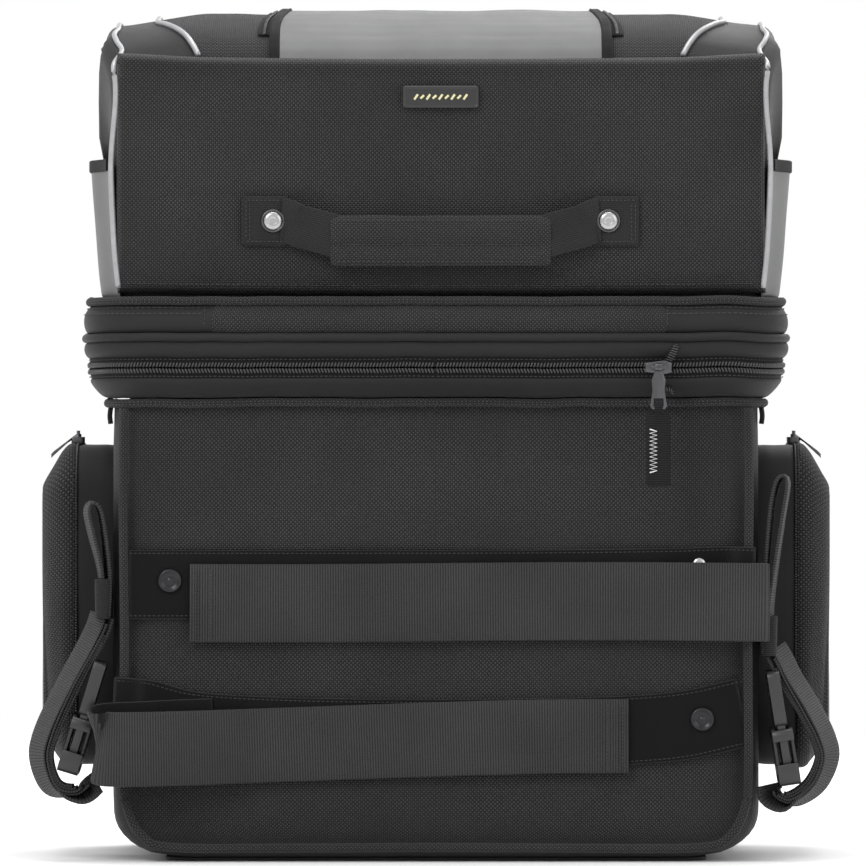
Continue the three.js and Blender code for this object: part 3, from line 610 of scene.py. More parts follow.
def buildMainBag():
    look = mainBag
    ringPoints = planRing(halfWide - 1, halfDeep - 1, 26, look["around"])
    heights = [bodyLow[2] + (topZ - bodyLow[2] - 1) * (k / (look["rows"] - 1)) ** 1.25
               for k in range(look["rows"])]
    footRing = planRing(halfWide - look["footX"], halfDeep - look["footY"], 20, look["around"])
    rows = [[(x * f, y * f, bodyLow[2]) for x, y, _, _ in footRing] for f in (0.02, 0.3, 0.6, 0.85, 0.96)]
    rows += [[mainSurface(p, z) for p in ringPoints] for z in heights]
    rows += [[(p[0] + p[2] * out, p[1] + p[3] * out, topZ + rise) for p in ringPoints] for out,
             rise in ((-0.2, 1.0), (1.2, 4.6))]
    floorRows = 5

    def pick(i, j):
        x, y = ringPoints[i][:2]
        if j < floorRows + 3:
            return 2
        return 1 if abs(x) > 203 and (y < -halfDeep + 40 or y > halfDeep - 30) else 0

    outer = gridMesh("main_shell", rows, closeU=True, pick=pick, capLow=True)
    finishPiece("main_shell", outer, "main_bag", [cordura, nylon, matRubber], ["body_shell"])

    # inside: quilted lining over the foam and the boards
    inner = planRing(halfWide - 8, halfDeep - 8, 22, 200)
    lowZ = boxOf("base_board")[1][2] + 1.5
    depthZ = [lowZ + (topZ - lowZ) * k / 22 for k in range(23)]
    rows = [[(x, y, topZ + 1) for x, y, _, _ in planRing(halfWide - 3.5, halfDeep - 3.5, 24, 200)]]
    for z in reversed(depthZ):
        tuck = 1 - smooth((z - lowZ) / 26)
        row = []
        for x, y, nx, ny in inner:
            quilt = 1.1 * abs(math.sin((x + y * 0.6) / 34)) * abs(math.sin(z / 28)) if z > lowZ + 20 else 0
            inset = quilt + 30 * tuck * (abs(nx) > 0.5) + 8 * tuck
            row.append((x - nx * inset, y - ny * inset, z))
        rows.append(row)
    last = rows[-1]
    rows += [[(x * f, y * f, lowZ) for x, y, _ in last] for f in (0.8, 0.5, 0.2, 0.01)]
    data = gridMesh("main_lining", rows, closeU=True, flip=True)
    finishPiece("main_lining", data, "main_bag", [lining],
                ["foam_liner", "back_board", "base_board"], shell=1.0)


buildMainBag()
print("main bag made")


# ---- cloth pads and copied hard parts ----


def steps(low, high, count, edge):
    # positions from low to high, closer together within the rounded edges
    ease = [0, 0.06, 0.2, 0.42, 0.7, 1]
    inner = [low + edge + (high - low - 2 * edge) * k / count for k in range(count + 1)]
    return [low + edge * e for e in ease[:-1]] + inner + [high - edge * e for e in reversed(ease[:-1])]


def padMesh(name, spanU, spanV, place, height, edge, countU, countV=24, flat=(0, 2), flip=False, corner=0.0):
    # a padded panel on a rectangle: place(u, v, h) stands a point h above the backing;
    # corner rounds the outline
    us, vs = steps(*spanU, countU, edge), steps(*spanV, countV, edge)
    midU, midV = sum(spanU) / 2, sum(spanV) / 2
    halfU, halfV = (spanU[1] - spanU[0]) / 2, (spanV[1] - spanV[0]) / 2
    rows = []
    for v in vs:
        row = []
        for u in us:
            inU, inV = halfU - abs(u - midU), halfV - abs(v - midV)
            near = max(min(inU, inV), 0)
            if corner and inU < corner and inV < corner:
                reach = math.hypot(corner - inU, corner - inV)
                grow = max(corner - inU, corner - inV, 1e-6)
                u2 = midU + math.copysign(halfU - corner + (corner - inU) * grow / reach, u - midU)
                v2 = midV + math.copysign(halfV - corner + (corner - inV) * grow / reach, v - midV)
            else:
                u2, v2 = u, v
            t = min(near / edge, 1)
            row.append(place(u2, v2, height(u2, v2) * math.sqrt(max(1 - (1 - t) ** 2, 0))))
        rows.append(row)
    return gridMesh(name, rows, flat=flat, flip=flip)


clothLook = dict(quality=6, mass=0.15, stretch=15, bend=0.3, frames=14)


def settle(data, held, pressure, cap, gravity):
    # lets the cloth of a padded piece fill out between the places where it is held, then keeps that shape
    holder = bpy.data.objects.new("settling", data.copy())
    bpy.context.collection.objects.link(holder)
    group = holder.vertex_groups.new(name="held")
    group.add([v.index for v in data.vertices if held(v.co.x / mm, v.co.y / mm, v.co.z / mm)], 1.0, "ADD")
    cloth = holder.modifiers.new("cloth", "CLOTH")
    cloth.settings.quality = clothLook["quality"]
    cloth.settings.mass = clothLook["mass"]
    cloth.settings.tension_stiffness = cloth.settings.compression_stiffness = clothLook["stretch"]
    cloth.settings.bending_stiffness = clothLook["bend"]
    cloth.settings.use_pressure = True
    cloth.settings.uniform_pressure_force = pressure
    cloth.settings.vertex_group_mass = "held"
    cloth.settings.effector_weights.gravity = gravity
    cloth.point_cache.frame_end = clothLook["frames"]
    scene = bpy.context.scene
    for step in range(1, clothLook["frames"] + 1):
        scene.frame_set(step)
    shaped = holder.evaluated_get(bpy.context.evaluated_depsgraph_get()).to_mesh()
    for old, new in zip(data.vertices, shaped.vertices):
        move = new.co - old.co
        if move.length > cap * mm:
            move *= cap * mm / move.length
        old.co = old.co + move
    scene.frame_set(1)
    bpy.data.objects.remove(holder)


def roundedCopy(nodeName, body, material, width=0.5):
    # the shape of a frame node with its sharp edges rounded off
    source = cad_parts[nodeName]
    sheet = bmesh.new()
    sheet.from_mesh(source.data)
    sheet.transform(source.matrix_world)
    bmesh.ops.remove_doubles(sheet, verts=sheet.verts, dist=2e-5)
    bmesh.ops.dissolve_limit(sheet, angle_limit=math.radians(4), verts=sheet.verts, edges=sheet.edges)
    sharp = [e for e in sheet.edges if len(e.link_faces) == 2 and e.calc_face_angle(0) > math.radians(24)]
    bmesh.ops.bevel(sheet, geom=sharp, offset=width * mm, segments=2, profile=0.5, affect="EDGES",
                    clamp_overlap=True)
    data = bpy.data.meshes.new(nodeName + "_finish")
    sheet.to_mesh(data)
    sheet.free()
    table = data.uv_layers.new(name="cloth")
    for loop in data.loops:
        co = data.vertices[loop.vertex_index].co
        table.data[loop.index].uv = (co.x / mm, co.z / mm)
    return finishPiece(nodeName + "_finish", data, body, [material], [nodeName])


# ---- corded seams and the rings under the lid ----

rings = dict(count=420, wave=1.1, toothPitch=2.1, toothLength=3.6, cord=2.9)


def ringWave(x, y):
    return rings["wave"] * (wobble(x, y, 0, 60, 5.5) + 0.5 * wobble(x, y, 0, 27, 1.5))


def ringRows(profile, halfX, halfY, radius, count=None, wave=1.0):
    # one row for each (outward, height) of the profile
    rows = []
    for outward, z in profile:
        row = []
        for x, y, nx, ny in planRing(halfX + outward, halfY + outward, max(radius + outward, 2),
                                     count or rings["count"]):
            push = 0.8 * wobble(x, y, z * 3, 48, 9.1)
            row.append((x + nx * push, y + ny * push, z + wave * ringWave(x, y)))
        rows.append(row)
    return rows


def ringCord(name, body, replaced, halfX, halfY, radius, z, thick, material):
    line = [Vector((x, y, z + ringWave(x, y))) for x, y, _,
            _ in planRing(halfX, halfY, radius, rings["count"])]
    data = tubeMesh(name, line, thick, closed=True, sides=10)
    return finishPiece(name, data, body, [material], replaced)


def teethMesh(name, points, normals, rise, pitch, length, lean=0.6, thick=1.5):
    # a row of coil loops lying on a zip's tape, each leaning along the run
    verts, faces = [], []
    for k, a, b, share in evenSpots(points, pitch):
        step = (b - a).normalized()
        out = Vector(normals[k]).normalized()
        up = step.cross(out) * rise
        centre = a.lerp(b, share)
        base = len(verts)
        for e, w, h in ((-0.5, 0.3, 0.1), (-0.32, 0.42, 0.75), (0.2, 0.46, 1.0), (0.5, 0.34, 0.45)):
            for c, s in ((-1, 0), (-0.6, 1), (0.6, 1), (1, 0)):
                verts.append((centre + up * (e * length) + step * (c * w * pitch * 0.82 + e * lean * pitch)
                              + out * (s * h * thick)) * mm)
        for ring in range(3):
            for q in range(3):
                i = base + ring * 4 + q
                faces.append([i, i + 1, i + 5, i + 4])
        faces.append([base + 3, base + 2, base + 1, base])
        faces.append([base + 12, base + 13, base + 14, base + 15])
    return plainMesh(name, verts, faces)


def buildCordedSeams():
    # the cord that frames the rear panel
    low, high = boxOf("rear_piping")
    x, y = high[0] - 2.8, (low[1] + high[1]) / 2 + 0.2
    z = low[2] + 2.8
    points = [(-x, y, topZ - 1), (-x - 0.5, y, 240), (-x + 0.4, y, 150), (-x, y, 60), (-x + 2, y + 0.6, 36),
              (-x + 12, y + 1, 17), (-x + 32, y + 1.6, z), (-90, y + 1.4, z - 0.4), (0, y + 1.2, z)]
    points += [(-px, py, pz) for px, py, pz in reversed(points[:-1])]
    data = tubeMesh("rear_cord", curvePoints(points, 3), 3.0, sides=12)
    finishPiece("rear_cord", data, "main_bag", [cordura], ["rear_piping"])
    low, high = boxOf("rim_piping")
    ringCord("rim_cord", "main_bag", ["rim_piping"], high[0] - 2.9, high[1] - 2.9, 30,
             (low[2] + high[2]) / 2, rings["cord"], cordura)
    low, high = boxOf("lid_piping_lower")
    ringCord("lid_cord_low", "expander", ["lid_piping_lower"], high[0] - 2.7, high[1] - 2.7, 43,
             (low[2] + high[2]) / 2 + 0.2, rings["cord"], nylon)
    low, high = boxOf("lid_piping_upper")
    ringCord("lid_cord_top", "lid", ["lid_piping_upper"], high[0] - 7.6, high[1] - 7.6, 40, high[2] - 1.0,
             rings["cord"], cordura)


def bandProfile(points, low, high):
    return [(o, low + (high - low) * t) for o, t in points]


def buildExpander():
    lowBand, highBand = boxOf("expander_lower_band"), boxOf("expander_upper_band")
    zLow, zMid = lowBand[0][2], lowBand[1][2]
    lowHalf = lowBand[1][0] - 1
    shape = [(-19, 0.03), (-15.5, 0.02), (-12.6, 0.06), (-9.6, 0.17), (-6.6, 0.34), (-4.2, 0.5),
             (-3.2, 0.6), (-3.6, 0.66),
             (-4.2, 0.7), (-3.6, 0.76), (-3.0, 0.88), (-2.9, 0.985), (-5, 0.99), (-10, 0.99)]
    rows = ringRows(bandProfile(shape, zLow, zMid), lowHalf, lowBand[1][1] - 1, 44)
    data = gridMesh("expander_band_low", rows, closeU=True, closeV=True, pick=lambda i,
                    j: 1 if 6 < j < 10 else 0)
    finishPiece("expander_band_low", data, "main_bag", [nylon, binding],
                ["expander_lower_band"], subdiv=1)
    zBase, zTop = highBand[0][2], highBand[1][2]
    shape = [(-10, 0.01), (-5, 0.01), (-2.9, 0.012), (-2.7, 0.12), (-2.9, 0.3), (-3.4, 0.37), (-2.0, 0.42),
             (-0.4, 0.52),
             (0.6, 0.68), (0.8, 0.82), (0.2, 0.98), (-1.5, 1.06), (-6, 1.1), (-12, 1.05)]
    rows = ringRows(bandProfile(shape, zBase, zTop), lowHalf, lowBand[1][1] - 1, 44)
    data = gridMesh("expander_band_high", rows, closeU=True, closeV=True, pick=lambda i,
                    j: 1 if 2 < j < 6 else 0)
    finishPiece("expander_band_high", data, "expander", [nylon, binding],
                ["expander_upper_band"], subdiv=1)
    # both rows of the coil, and a stitched line beside each
    for name, body, z, rise, outward, seamZ in (
        ("expander_teeth_low", "main_bag", zMid - 1.75, 1, -2.9, zMid - 5.4),
        ("expander_teeth_high", "expander", zBase + 1.75, -1, -2.7, zBase + 5.2),
    ):
        ring = planRing(lowHalf + outward, lowBand[1][1] - 1 + outward, 42, 700)
        line, seam, outs = [], [], []
        for x, y, nx, ny in ring + ring[:1]:
            push = 0.8 * wobble(x, y, z * 3, 48, 9.1)
            line.append(Vector((x + nx * push, y + ny * push, z + ringWave(x, y))))
            seam.append(Vector((x + nx * (push + 0.2), y + ny * (push + 0.2), seamZ + ringWave(x, y))))
            outs.append((nx, ny, 0))
        data = teethMesh(name, line, outs, rise, rings["toothPitch"], rings["toothLength"])
        finishPiece(name, data, body, [coilPlastic])
        addStitches(name + "_seam", body, [seam], lambda p: (p.x / 2, p.y, 0), pitch=3.0, length=2.0,
                    radius=0.28, sink=0)
    # loose ends of the coil beside the slider
    faceY = -(lowBand[1][1] - 1)
    tail = curvePoints([(149, faceY + 1.6, zBase + 1.5), (151, faceY - 0.6, zBase + 5),
                        (153.5, faceY - 1.8, zBase + 9),
                        (155.5, faceY - 1.2, zBase + 13.5), (156.5, faceY + 1.5, zBase + 16)], 1.2)
    data = teethMesh("coil_tail_high", tail, [(0, -1, 0)] * len(tail), 1, 1.7, 5.0, thick=1.3)
    finishPiece("coil_tail_high", data, "expander", [coilPlastic])
    curl = curvePoints([(146.5, faceY + 6.4, zLow + 4.6), (149, faceY + 4.6, zLow + 5.8),
                        (152, faceY + 4.4, zLow + 5.6),
                        (153.5, faceY + 6.2, zLow + 3.6), (151.5, faceY + 6.8, zLow + 2.4)], 1.2)
    data = teethMesh("coil_tail_low", curl, [(0, -1, 0)] * len(curl), 1, 1.6, 3.6, thick=1.2)
    finishPiece("coil_tail_low", data, "main_bag", [coilPlastic])
    # the folded wall that lets the lid rise
    rows = []
    count = 240
    high = boxOf("expansion_gusset")[1]
    for k in range(13):
        t = k / 12
        fold = 5 * math.sin(t * 3 * math.pi) ** 2
        rows.append([(x, y, topZ + 0.6 + (high[2] - 1 - topZ) * t) for x, y, _, _ in
                     planRing(high[0] - 1.5 - fold, high[1] - 1.5 - fold, 22, count)])
    data = gridMesh("expansion_wall", rows, closeU=True)
    wall = finishPiece("expansion_wall", data, None, [nylon], ["expansion_gusset"])
    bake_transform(wall)


lidLook = dict(patchFrom=148)


def buildLid():
    low, high = boxOf("lid_panel")
    halfX, halfY, radius = high[0] - 0.5, high[1] - 0.5, 43
    z0, z1 = low[2], high[2]
    shape = [(-14, z1 - 4), (-9, z1 - 4.5), (-6.5, z1 - 8), (-5, z0 + 3), (-3.8, z0 + 0.2),
             (-1.6, z0 - 0.4), (0.2, z0 + 1.2),
             (1.4, z0 + 4.6), (1.6, z0 + 8.5), (0.8, z0 + 12.5), (-1.0, z0 + 16), (-3.6, z0 + 18.6),
             (-7, z1 - 0.6), (-14, z1 - 0.4)]
    rows = ringRows(shape, halfX, halfY, radius, wave=0.6)
    lidRows = [[(x * f, y * f, z1 - 4) for x, y, _ in rows[0]] for f in (0.02, 0.4, 0.75)] + rows
    lidRows += [[(x * f, y * f, z1 - 0.2) for x, y, _ in rows[-1]] for f in (0.93, 0.7, 0.3, 0.02)]
    outline = planRing(halfX, halfY, radius, rings["count"])

    def pick(i, j):
        if j < 6:
            return 2
        x = outline[i][0]
        if j > 15:
            return 0
        return 1 if abs(x) > lidLook["patchFrom"] else 0

    data = gridMesh("lid_body", lidRows, closeU=True, pick=pick)
    finishPiece("lid_body", data, "lid", [cordura, nylon, lining], ["lid_panel"], subdiv=1)
    lines = []
    for z, outward in ((z0 + 12.6, 0.95), (z0 + 16.4, -1.0)):
        ring = planRing(halfX + outward, halfY + outward, radius + outward, 900)
        for keep in (lambda x, y: x > lidLook["patchFrom"], lambda x, y: x < -lidLook["patchFrom"]):
            run = []
            half = len(ring) // 2
            order = ring if keep(200, 0) else ring[half:] + ring[:half]
            for x, y, nx, ny in order:
                if keep(x, y):
                    push = 0.8 * wobble(x, y, z * 3, 48, 9.1)
                    run.append(Vector((x + nx * push, y + ny * push, z + 0.6 * ringWave(x, y))))
                elif len(run) > 2 and (run[-1] - Vector((x, y, z))).length > 12:
                    break
            lines.append(run)
    addStitches("lid_patch_stitches", "lid", lines, lambda p: (p.x / 2, p.y, 0), pitch=3.6, length=2.6,
                sink=-0.1)
    seams = []
    for x in (-lidLook["patchFrom"], lidLook["patchFrom"]):
        for facing in (-1, 1):
            run = []
            for outward, z in shape[7:12]:
                y = facing * (halfY + outward)
                run.append(Vector((x + math.copysign(2, x),
                                   y + facing * (0.8 * wobble(x, y, z * 3, 48, 9.1) + 0.1), z)))
            seams.append(curvePoints([tuple(p) for p in run], 1.5))
    addStitches("lid_patch_seams", "lid", seams, lambda p: (0, p.y, 0), pitch=3.0, length=2.2)


buildCordedSeams()
buildExpander()
buildLid()
print("rings and lid made")

# ---- roll bag ----

rollLow, rollHigh = boxOf("roll_shell")
rollBag = dict(sections=130, endDrop=8.0, rounding=9.0, crown=-18.0, crownRise=5.0, rearTaper=12.0,
               endFull=3.0,
               mouth=dict(half=100, rear=42, foot=447), seamX=187.0)
rollMid = (rollLow[0] + rollHigh[0]) / 2
rollHalf = (rollHigh[0] - rollLow[0]) / 2


def bezier(p0, p1, p2, p3, count):
    return [tuple((1 - t) ** 3 * a + 3 * (1 - t) ** 2 * t * b + 3 * (1 - t) * t * t * c + t ** 3 * d
                  for a, b, c, d in zip(p0, p1, p2, p3)) for t in (k / count for k in range(count))]


def rollOutline(inset, count=150):
    # the section as (y, z), from the bottom of the rear round by the front and over the top
    rear, front = rollLow[1] + inset, rollHigh[1] - inset
    low, high, crown = rollLow[2] + inset, rollHigh[2] - inset, rollBag["crown"]
    line = [(rear + (front - 24 - rear) * k / 12, low) for k in range(12)]
    line += bezier((front - 24, low), (front - 8, low), (front, low + 9), (front, low + 26), 6)
    line += [(front, low + 26 + 50 * k / 6) for k in range(6)]
    line += bezier((front, low + 76), (front, high - 38), (crown + 76, high), (crown, high), 14)
    line += bezier((crown, high), (crown - 58, high), (rear, high - 12), (rear, high - 52), 12)
    line += [(rear, high - 52 - (high - 52 - low) * k / 10) for k in range(11)]
    total = [0.0]
    for a, b in zip(line, line[1:]):
        total.append(total[-1] + math.dist(a, b))
    result, k = [], 0
    for i in range(count):
        target = total[-1] * i / count
        while total[k + 1] < target:
            k += 1
        f = (target - total[k]) / max(total[k + 1] - total[k], 1e-9)
        result.append(tuple(a + (b - a) * f for a, b in zip(line[k], line[k + 1])))
    return result


def endTaper(y, share):
    # how far the ends draw in towards the rear panel and towards the foot
    return rollBag["rearTaper"] * smooth((-y - 72) / 54) + 6.0 * max(1 - share, 0) ** 2.2 - rollBag["endFull"]


def rollPoint(x, y, z, soft=1.0):
    # lets the roll bag droop towards its ends and pucker a little
    share = (z - rollLow[2]) / (rollHigh[2] - rollLow[2])
    weight = smooth((abs(x - rollMid) - 165) / 50)
    x -= math.copysign(endTaper(y, share) * weight, x - rollMid)
    z += rollBag["crownRise"] * max(share, 0) ** 5
    drop = rollBag["endDrop"] * smooth((abs(x - rollMid) - 150) / 68) * max(share, 0)
    crease = soft * 1.1 * wobble(x, y, z, 52, 2.2) * smooth(share * 4)
    crease += soft * 0.5 * wobble(x, y, z, 20, 8.2) * smooth(share * 4)
    return (x, y, z - drop + crease * (0.9 if y > -110 else 0.2))


def topSeam(y):
    # where the second piping crosses the roll bag, out from its middle
    return 156 + (rollBag["seamX"] - 156) * min(max((y + 122) / 58, 0), 1) ** 0.9


def inMouth(x, y, z):
    # inside the opening that the flap covers
    mouth = rollBag["mouth"]
    return abs(x - rollMid) < mouth["half"] and y > rollLow[1] + mouth["rear"] and z > mouth["foot"]


def buildRollShell():
    look = rollBag
    half, rounding = rollHalf, look["rounding"]
    stations = []
    for k in range(5):
        a = math.pi / 2 * k / 5
        stations.append((-half + rounding * (1 - math.cos(a)), rounding * (1 - math.sin(a))))
    inner = half - rounding
    body = [(-inner + 2 * inner * k / look["sections"], 0) for k in range(look["sections"] + 1)]
    stations = stations + body + [(-x, i) for x, i in reversed(stations)]
    rows = [[rollPoint(rollMid + x, y, z) for y, z in rollOutline(inset)] for x, inset in stations]
    middleY, middleZ = -4, 452
    ends = []
    for side, sign in ((rows[0], -1), (rows[-1], 1)):
        caps = []
        for f, push in ((0.97, 0.4), (0.85, 1.6), (0.6, 2.6), (0.3, 3.2), (0.03, 3.4)):
            row = []
            for x, y, z in side:
                capZ = middleZ + (z - middleZ) * f
                row.append((x + sign * push * smooth((capZ - middleZ) / 22), middleY + (y - middleY) * f,
                            capZ))
            caps.append(row)
        ends.append(caps)
    allRows = list(reversed(ends[0])) + rows + ends[1]
    outline = rollOutline(0)
    first, last = len(ends[0]), len(ends[0]) + len(rows) - 1

    def openMouth(i, j):
        if not first <= j < last:
            return False
        return inMouth(allRows[j][i][0], *outline[i])

    def pick(i, j):
        y, z = outline[i]
        x = allRows[min(j, last)][i][0]
        if j <= first or j >= last - 1:
            return 1
        return 1 if abs(x - rollMid) > topSeam(y) and z > 380 and (y > 0 or z > 506) else 0

    data = gridMesh("roll_body", allRows, closeU=True, pick=pick, skip=openMouth)
    finishPiece("roll_body", data, "lid", [cordura, nylon], ["roll_shell"])
    rows = [[rollPoint(rollMid + x * 0.985, y, z, 0.6) for y, z in rollOutline(inset + 3.4)] for x,
            inset in stations[2:-2]]
    data = gridMesh("roll_lining", rows, closeU=True, flip=True, capLow=True, capHigh=True,
                    skip=lambda i, j: inMouth(rows[j][i][0], *outline[i]))
    finishPiece("roll_lining", data, "lid", [lining])


def overRoll(x, lift, fromY, toZ):
    # a line over the roll from a place near the rear edge, forward and down the front to a height
    line = []
    for y, z in reversed(rollOutline(-lift, 300)):
        if (z < 470 and y < 0) or y < fromY:
            continue
        if z < toZ:
            break
        line.append((x(y, z) if callable(x) else x, y, z))
    return [Vector(rollPoint(*p)) for p in line]


def buildRearPanel():
    low, high = boxOf("roll_rear_panel")
    back = high[1]
    middle = (low[0] + high[0]) / 2
    halfX = (high[0] - low[0]) / 2

    def place(u, v, h):
        share = (v - low[2]) / (high[2] - low[2])
        across = 1 - ((u - middle) / halfX) ** 2
        sagTop = -2.2 * across * share + 1.6 * smooth((abs(u - middle) - 150) / 60) * share
        sagLow = -1.6 * across * (1 - share) ** 2
        z = v + sagTop + sagLow
        return (u + 1.2 * wobble(0, 0, v, 70, 4.4) * abs(u - middle) / halfX, back - h, z)

    def height(u, v):
        share = (v - low[2]) / (high[2] - low[2])
        full = 11.6 + 1.8 * math.sin(math.pi * min(share * 1.15, 1)) * (1 - ((u - middle) / halfX) ** 4)
        full -= 1.9 * bump(v, high[2] - 8.5, 2.6)
        handlePull = 0.8 * sum(bump(math.hypot(u - x, v - 416), 0, 34) for x in (middle - 109, middle + 109))
        return full + 0.55 * wobble(u, 0, v, 46, 6.6) + 0.3 * wobble(u, 3, v * 1.3, 19, 2.6) - handlePull

    data = padMesh("roll_rear_pad", (low[0], high[0]), (low[2], high[2] + 1.5), place, height, edge=5,
                   countU=90, countV=46)
    tabs = [(boxOf("handle_tab_" + side)[0], boxOf("handle_tab_" + side)[1]) for side in ("left", "right")]
    badgeLow, badgeHigh = boxOf("badge_patch")

    def held(x, y, z):
        if z > high[2] - 12 or z < low[2] + 9 or abs(x - middle) > halfX - 6:
            return True
        if badgeLow[0] - 2 < x < badgeHigh[0] + 2 and badgeLow[2] - 2 < z < badgeHigh[2] + 2:
            return True
        return any(a[0] - 2 < x < b[0] + 2 and a[2] - 2 < z < b[2] + 2 for a, b in tabs)

    settle(data, held, pressure=2.0, cap=2.2, gravity=0.4)
    pad = finishPiece("roll_rear_pad", data, "lid", [cordura], ["roll_rear_panel"], subdiv=1)
    hem = [Vector(place(u, high[2] - 8.5, height(u, high[2] - 8.5) + 0.15))
           for u in range(int(low[0]) + 6, int(high[0]) - 4, 3)]
    foot = [Vector(place(u, low[2] + 6, height(u, low[2] + 6) + 0.1))
            for u in range(int(low[0]) + 6, int(high[0]) - 4, 3)]
    addStitches("rear_pad_stitches", "lid", [hem], (0, -1, 0), pitch=3.4, length=2.5, sink=-0.05)
    addStitches("rear_pad_foot_stitches", "lid", [foot], (0, -1, 0), pitch=3.4, length=2.4, sink=-0.05)


def buildSilverPiping():
    low, high = boxOf("roll_rear_panel")
    y = boxOf("roll_edge_piping_left")[0][1] + 1.4
    for side, sign in (("left", -1), ("right", 1)):
        base = low[0] if sign < 0 else high[0]
        shape = [(1.5, low[2] + 3, 0), (-1.2, 400, 0), (-3.2, 440, 0), (-3, 462, 0), (-0.6, 490, 0),
                 (-0.4, 506, 0.4),
                 (-1.6, 518, 2.0)]
        points = [(base - sign * o, y + b, z) for o, z, b in shape]
        tail = overRoll(rollMid + sign * (rollHalf - 8.4), 0.8, -112, 460)[::5]
        line = curvePoints(points + [tuple(p) for p in tail], 3)
        data = tubeMesh("silver_edge_" + side, line, 1.7, sides=10)
        finishPiece("silver_edge_" + side, data, "lid", [silverPiping],
                    ["roll_edge_piping_" + side])
        # the second piping crosses the top and runs down the front
        track = overRoll(lambda y, z: rollMid + sign * topSeam(y), 1.0, -121, 372)
        data = tubeMesh("silver_top_" + side, curvePoints([tuple(p) for p in track[::4]], 3), 1.9, sides=10)
        finishPiece("silver_top_" + side, data, "lid", [silverPiping])


flapLook = dict(thick=1.6, bindingWidth=7.0, narrow=7.0)


def flapHalf(y):
    low, high = boxOf("roll_flap")
    return (high[0] - low[0]) / 2 - flapLook["narrow"] * smooth((y + 106) / 70)


def flapTrack(lift, fromY, toZ):
    # the roll bag's section from the rear of the flap over the top and down the front
    line = [(y, z) for y, z in reversed(rollOutline(-lift, 330)) if y > fromY and z > toZ]
    return line[line.index(min(line, key=lambda p: abs(p[0] - fromY) + (0 if p[1] > 480 else 900))):]


def buildRollFlap():
    low = boxOf("roll_flap")[0]
    axisY, axisZ = -18, 450
    rows = []
    for y, z in flapTrack(0.6 + flapLook["thick"], -125.5, low[2]):
        half = flapHalf(y)
        rows.append([Vector(rollPoint(rollMid + half * u, y, z, 1.0)) +
                     Vector((0, 0, 0.5 * wobble(half * u, y, z, 60, 6.1)))
                     for u in (k / 20 - 1 for k in range(41))])
    data = gridMesh("flap_cloth", rows)
    cloth = finishPiece("flap_cloth", data, None, [greyCloth], ["roll_flap"])
    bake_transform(cloth)
    for name, u in (("left", -1), ("right", 1)):
        line = [row[20 + 20 * u] + Vector((-u * 2.6, 0, 0)) for row in rows]
        data = bandMesh("flap_binding_" + name, line, (1, 0, 0), flapLook["bindingWidth"], 2.6)
        strip = finishPiece("flap_binding_" + name, data, None, [binding])
        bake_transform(strip)
        stitch = [p + Vector((-u * 2.4, 0, 0)) for p in line]
        stitch = [p for p in stitch if p.y > low[1] + 14 or p.z < 500]
        addStitches("flap_binding_stitches_" + name, "roll_flap", [stitch],
                    lambda p: (0, p.y - axisY, p.z - axisZ),
                    pitch=3.2, length=2.2, sink=-1.25)
    foot = rows[-1]
    data = bandMesh("flap_binding_foot", [p + Vector((0, 0.2, 2.4)) for p in foot], (0, 0, 1),
                    flapLook["bindingWidth"], 2.6)
    finishPiece("flap_binding_foot", data, "roll_flap", [binding])
    # the zip that runs round three sides of the flap, on the roll bag
    base = flapTrack(0.7, low[1], low[2] - 4.5)

    def reach(y):
        return flapHalf(y) + 4.2

    path = [rollPoint(rollMid - reach(y), y, z) for y, z in base]
    path += [rollPoint(rollMid + reach(base[-1][0]) * (k / 30 * 2 - 1), base[-1][0], base[-1][1])
             for k in range(1, 30)]
    path += [rollPoint(rollMid + reach(y), y, z) for y, z in reversed(base)]
    path = [Vector(p) for p in path]
    line = curvePoints([tuple(p) for p in path[::3]], 4)

    def wide(i):
        p = line[i]
        onFoot = p.z < base[-1][1] + 1.5
        return (0, 0, 1) if onFoot and abs(p.x - rollMid) < reach(100) - 3 else (1, 0, 0)

    data = bandMesh("flap_zip_tape", line, wide, 8.5, 1.0)
    finishPiece("flap_zip_tape", data, "lid", [binding], ["roll_zip_tape"])
    outs = [(0, p.y - axisY, p.z - axisZ) for p in line]
    data = teethMesh("flap_zip_teeth", [p + Vector(o).normalized() * 0.6 for p, o in zip(line, outs)], outs,
                     1, 1.75, 2.6)
    finishPiece("flap_zip_teeth", data, "lid", [coilPlastic])


def buildEndPockets():
    for side, sign in (("left", -1), ("right", 1)):
        low, high = boxOf("roll_end_pocket_" + side)
        near = high[0] if sign < 0 else low[0]

        def place(u, v, h):
            share = (v - rollLow[2]) / (rollHigh[2] - rollLow[2])
            return (near - sign * endTaper(u, share) + sign * h * 0.9,
                    u - 0.25 * h * smooth((-u - 90) / 30), v)

        def height(u, v):
            share = (v - low[2]) / (high[2] - low[2])
            fullness = 3.4 * share ** 0.7 * (1 - min(abs(u + 2) / 150, 1) ** 4 * 0.6)
            return 1.8 + fullness + 0.5 * wobble(u, 1, v, 40, sign)

        wrap = low[1] - 26
        data = padMesh("end_pocket_" + side, (wrap, high[1]), (low[2], high[2]), place, height, edge=3,
                       countU=70,
                       countV=24, flat=(1, 2), flip=sign > 0)
        finishPiece("end_pocket_" + side, data, "lid", [greyCloth],
                    ["roll_end_pocket_" + side], subdiv=1)
        top = [Vector(place(u, high[2] - 0.5, height(u, high[2] - 4) + 0.2))
               for u in range(int(wrap) + 1, int(high[1]), 3)]
        data = bandMesh("end_pocket_binding_" + side, top, (0, 0, 1), 8, 2.2)
        finishPiece("end_pocket_binding_" + side, data, "lid", [binding])


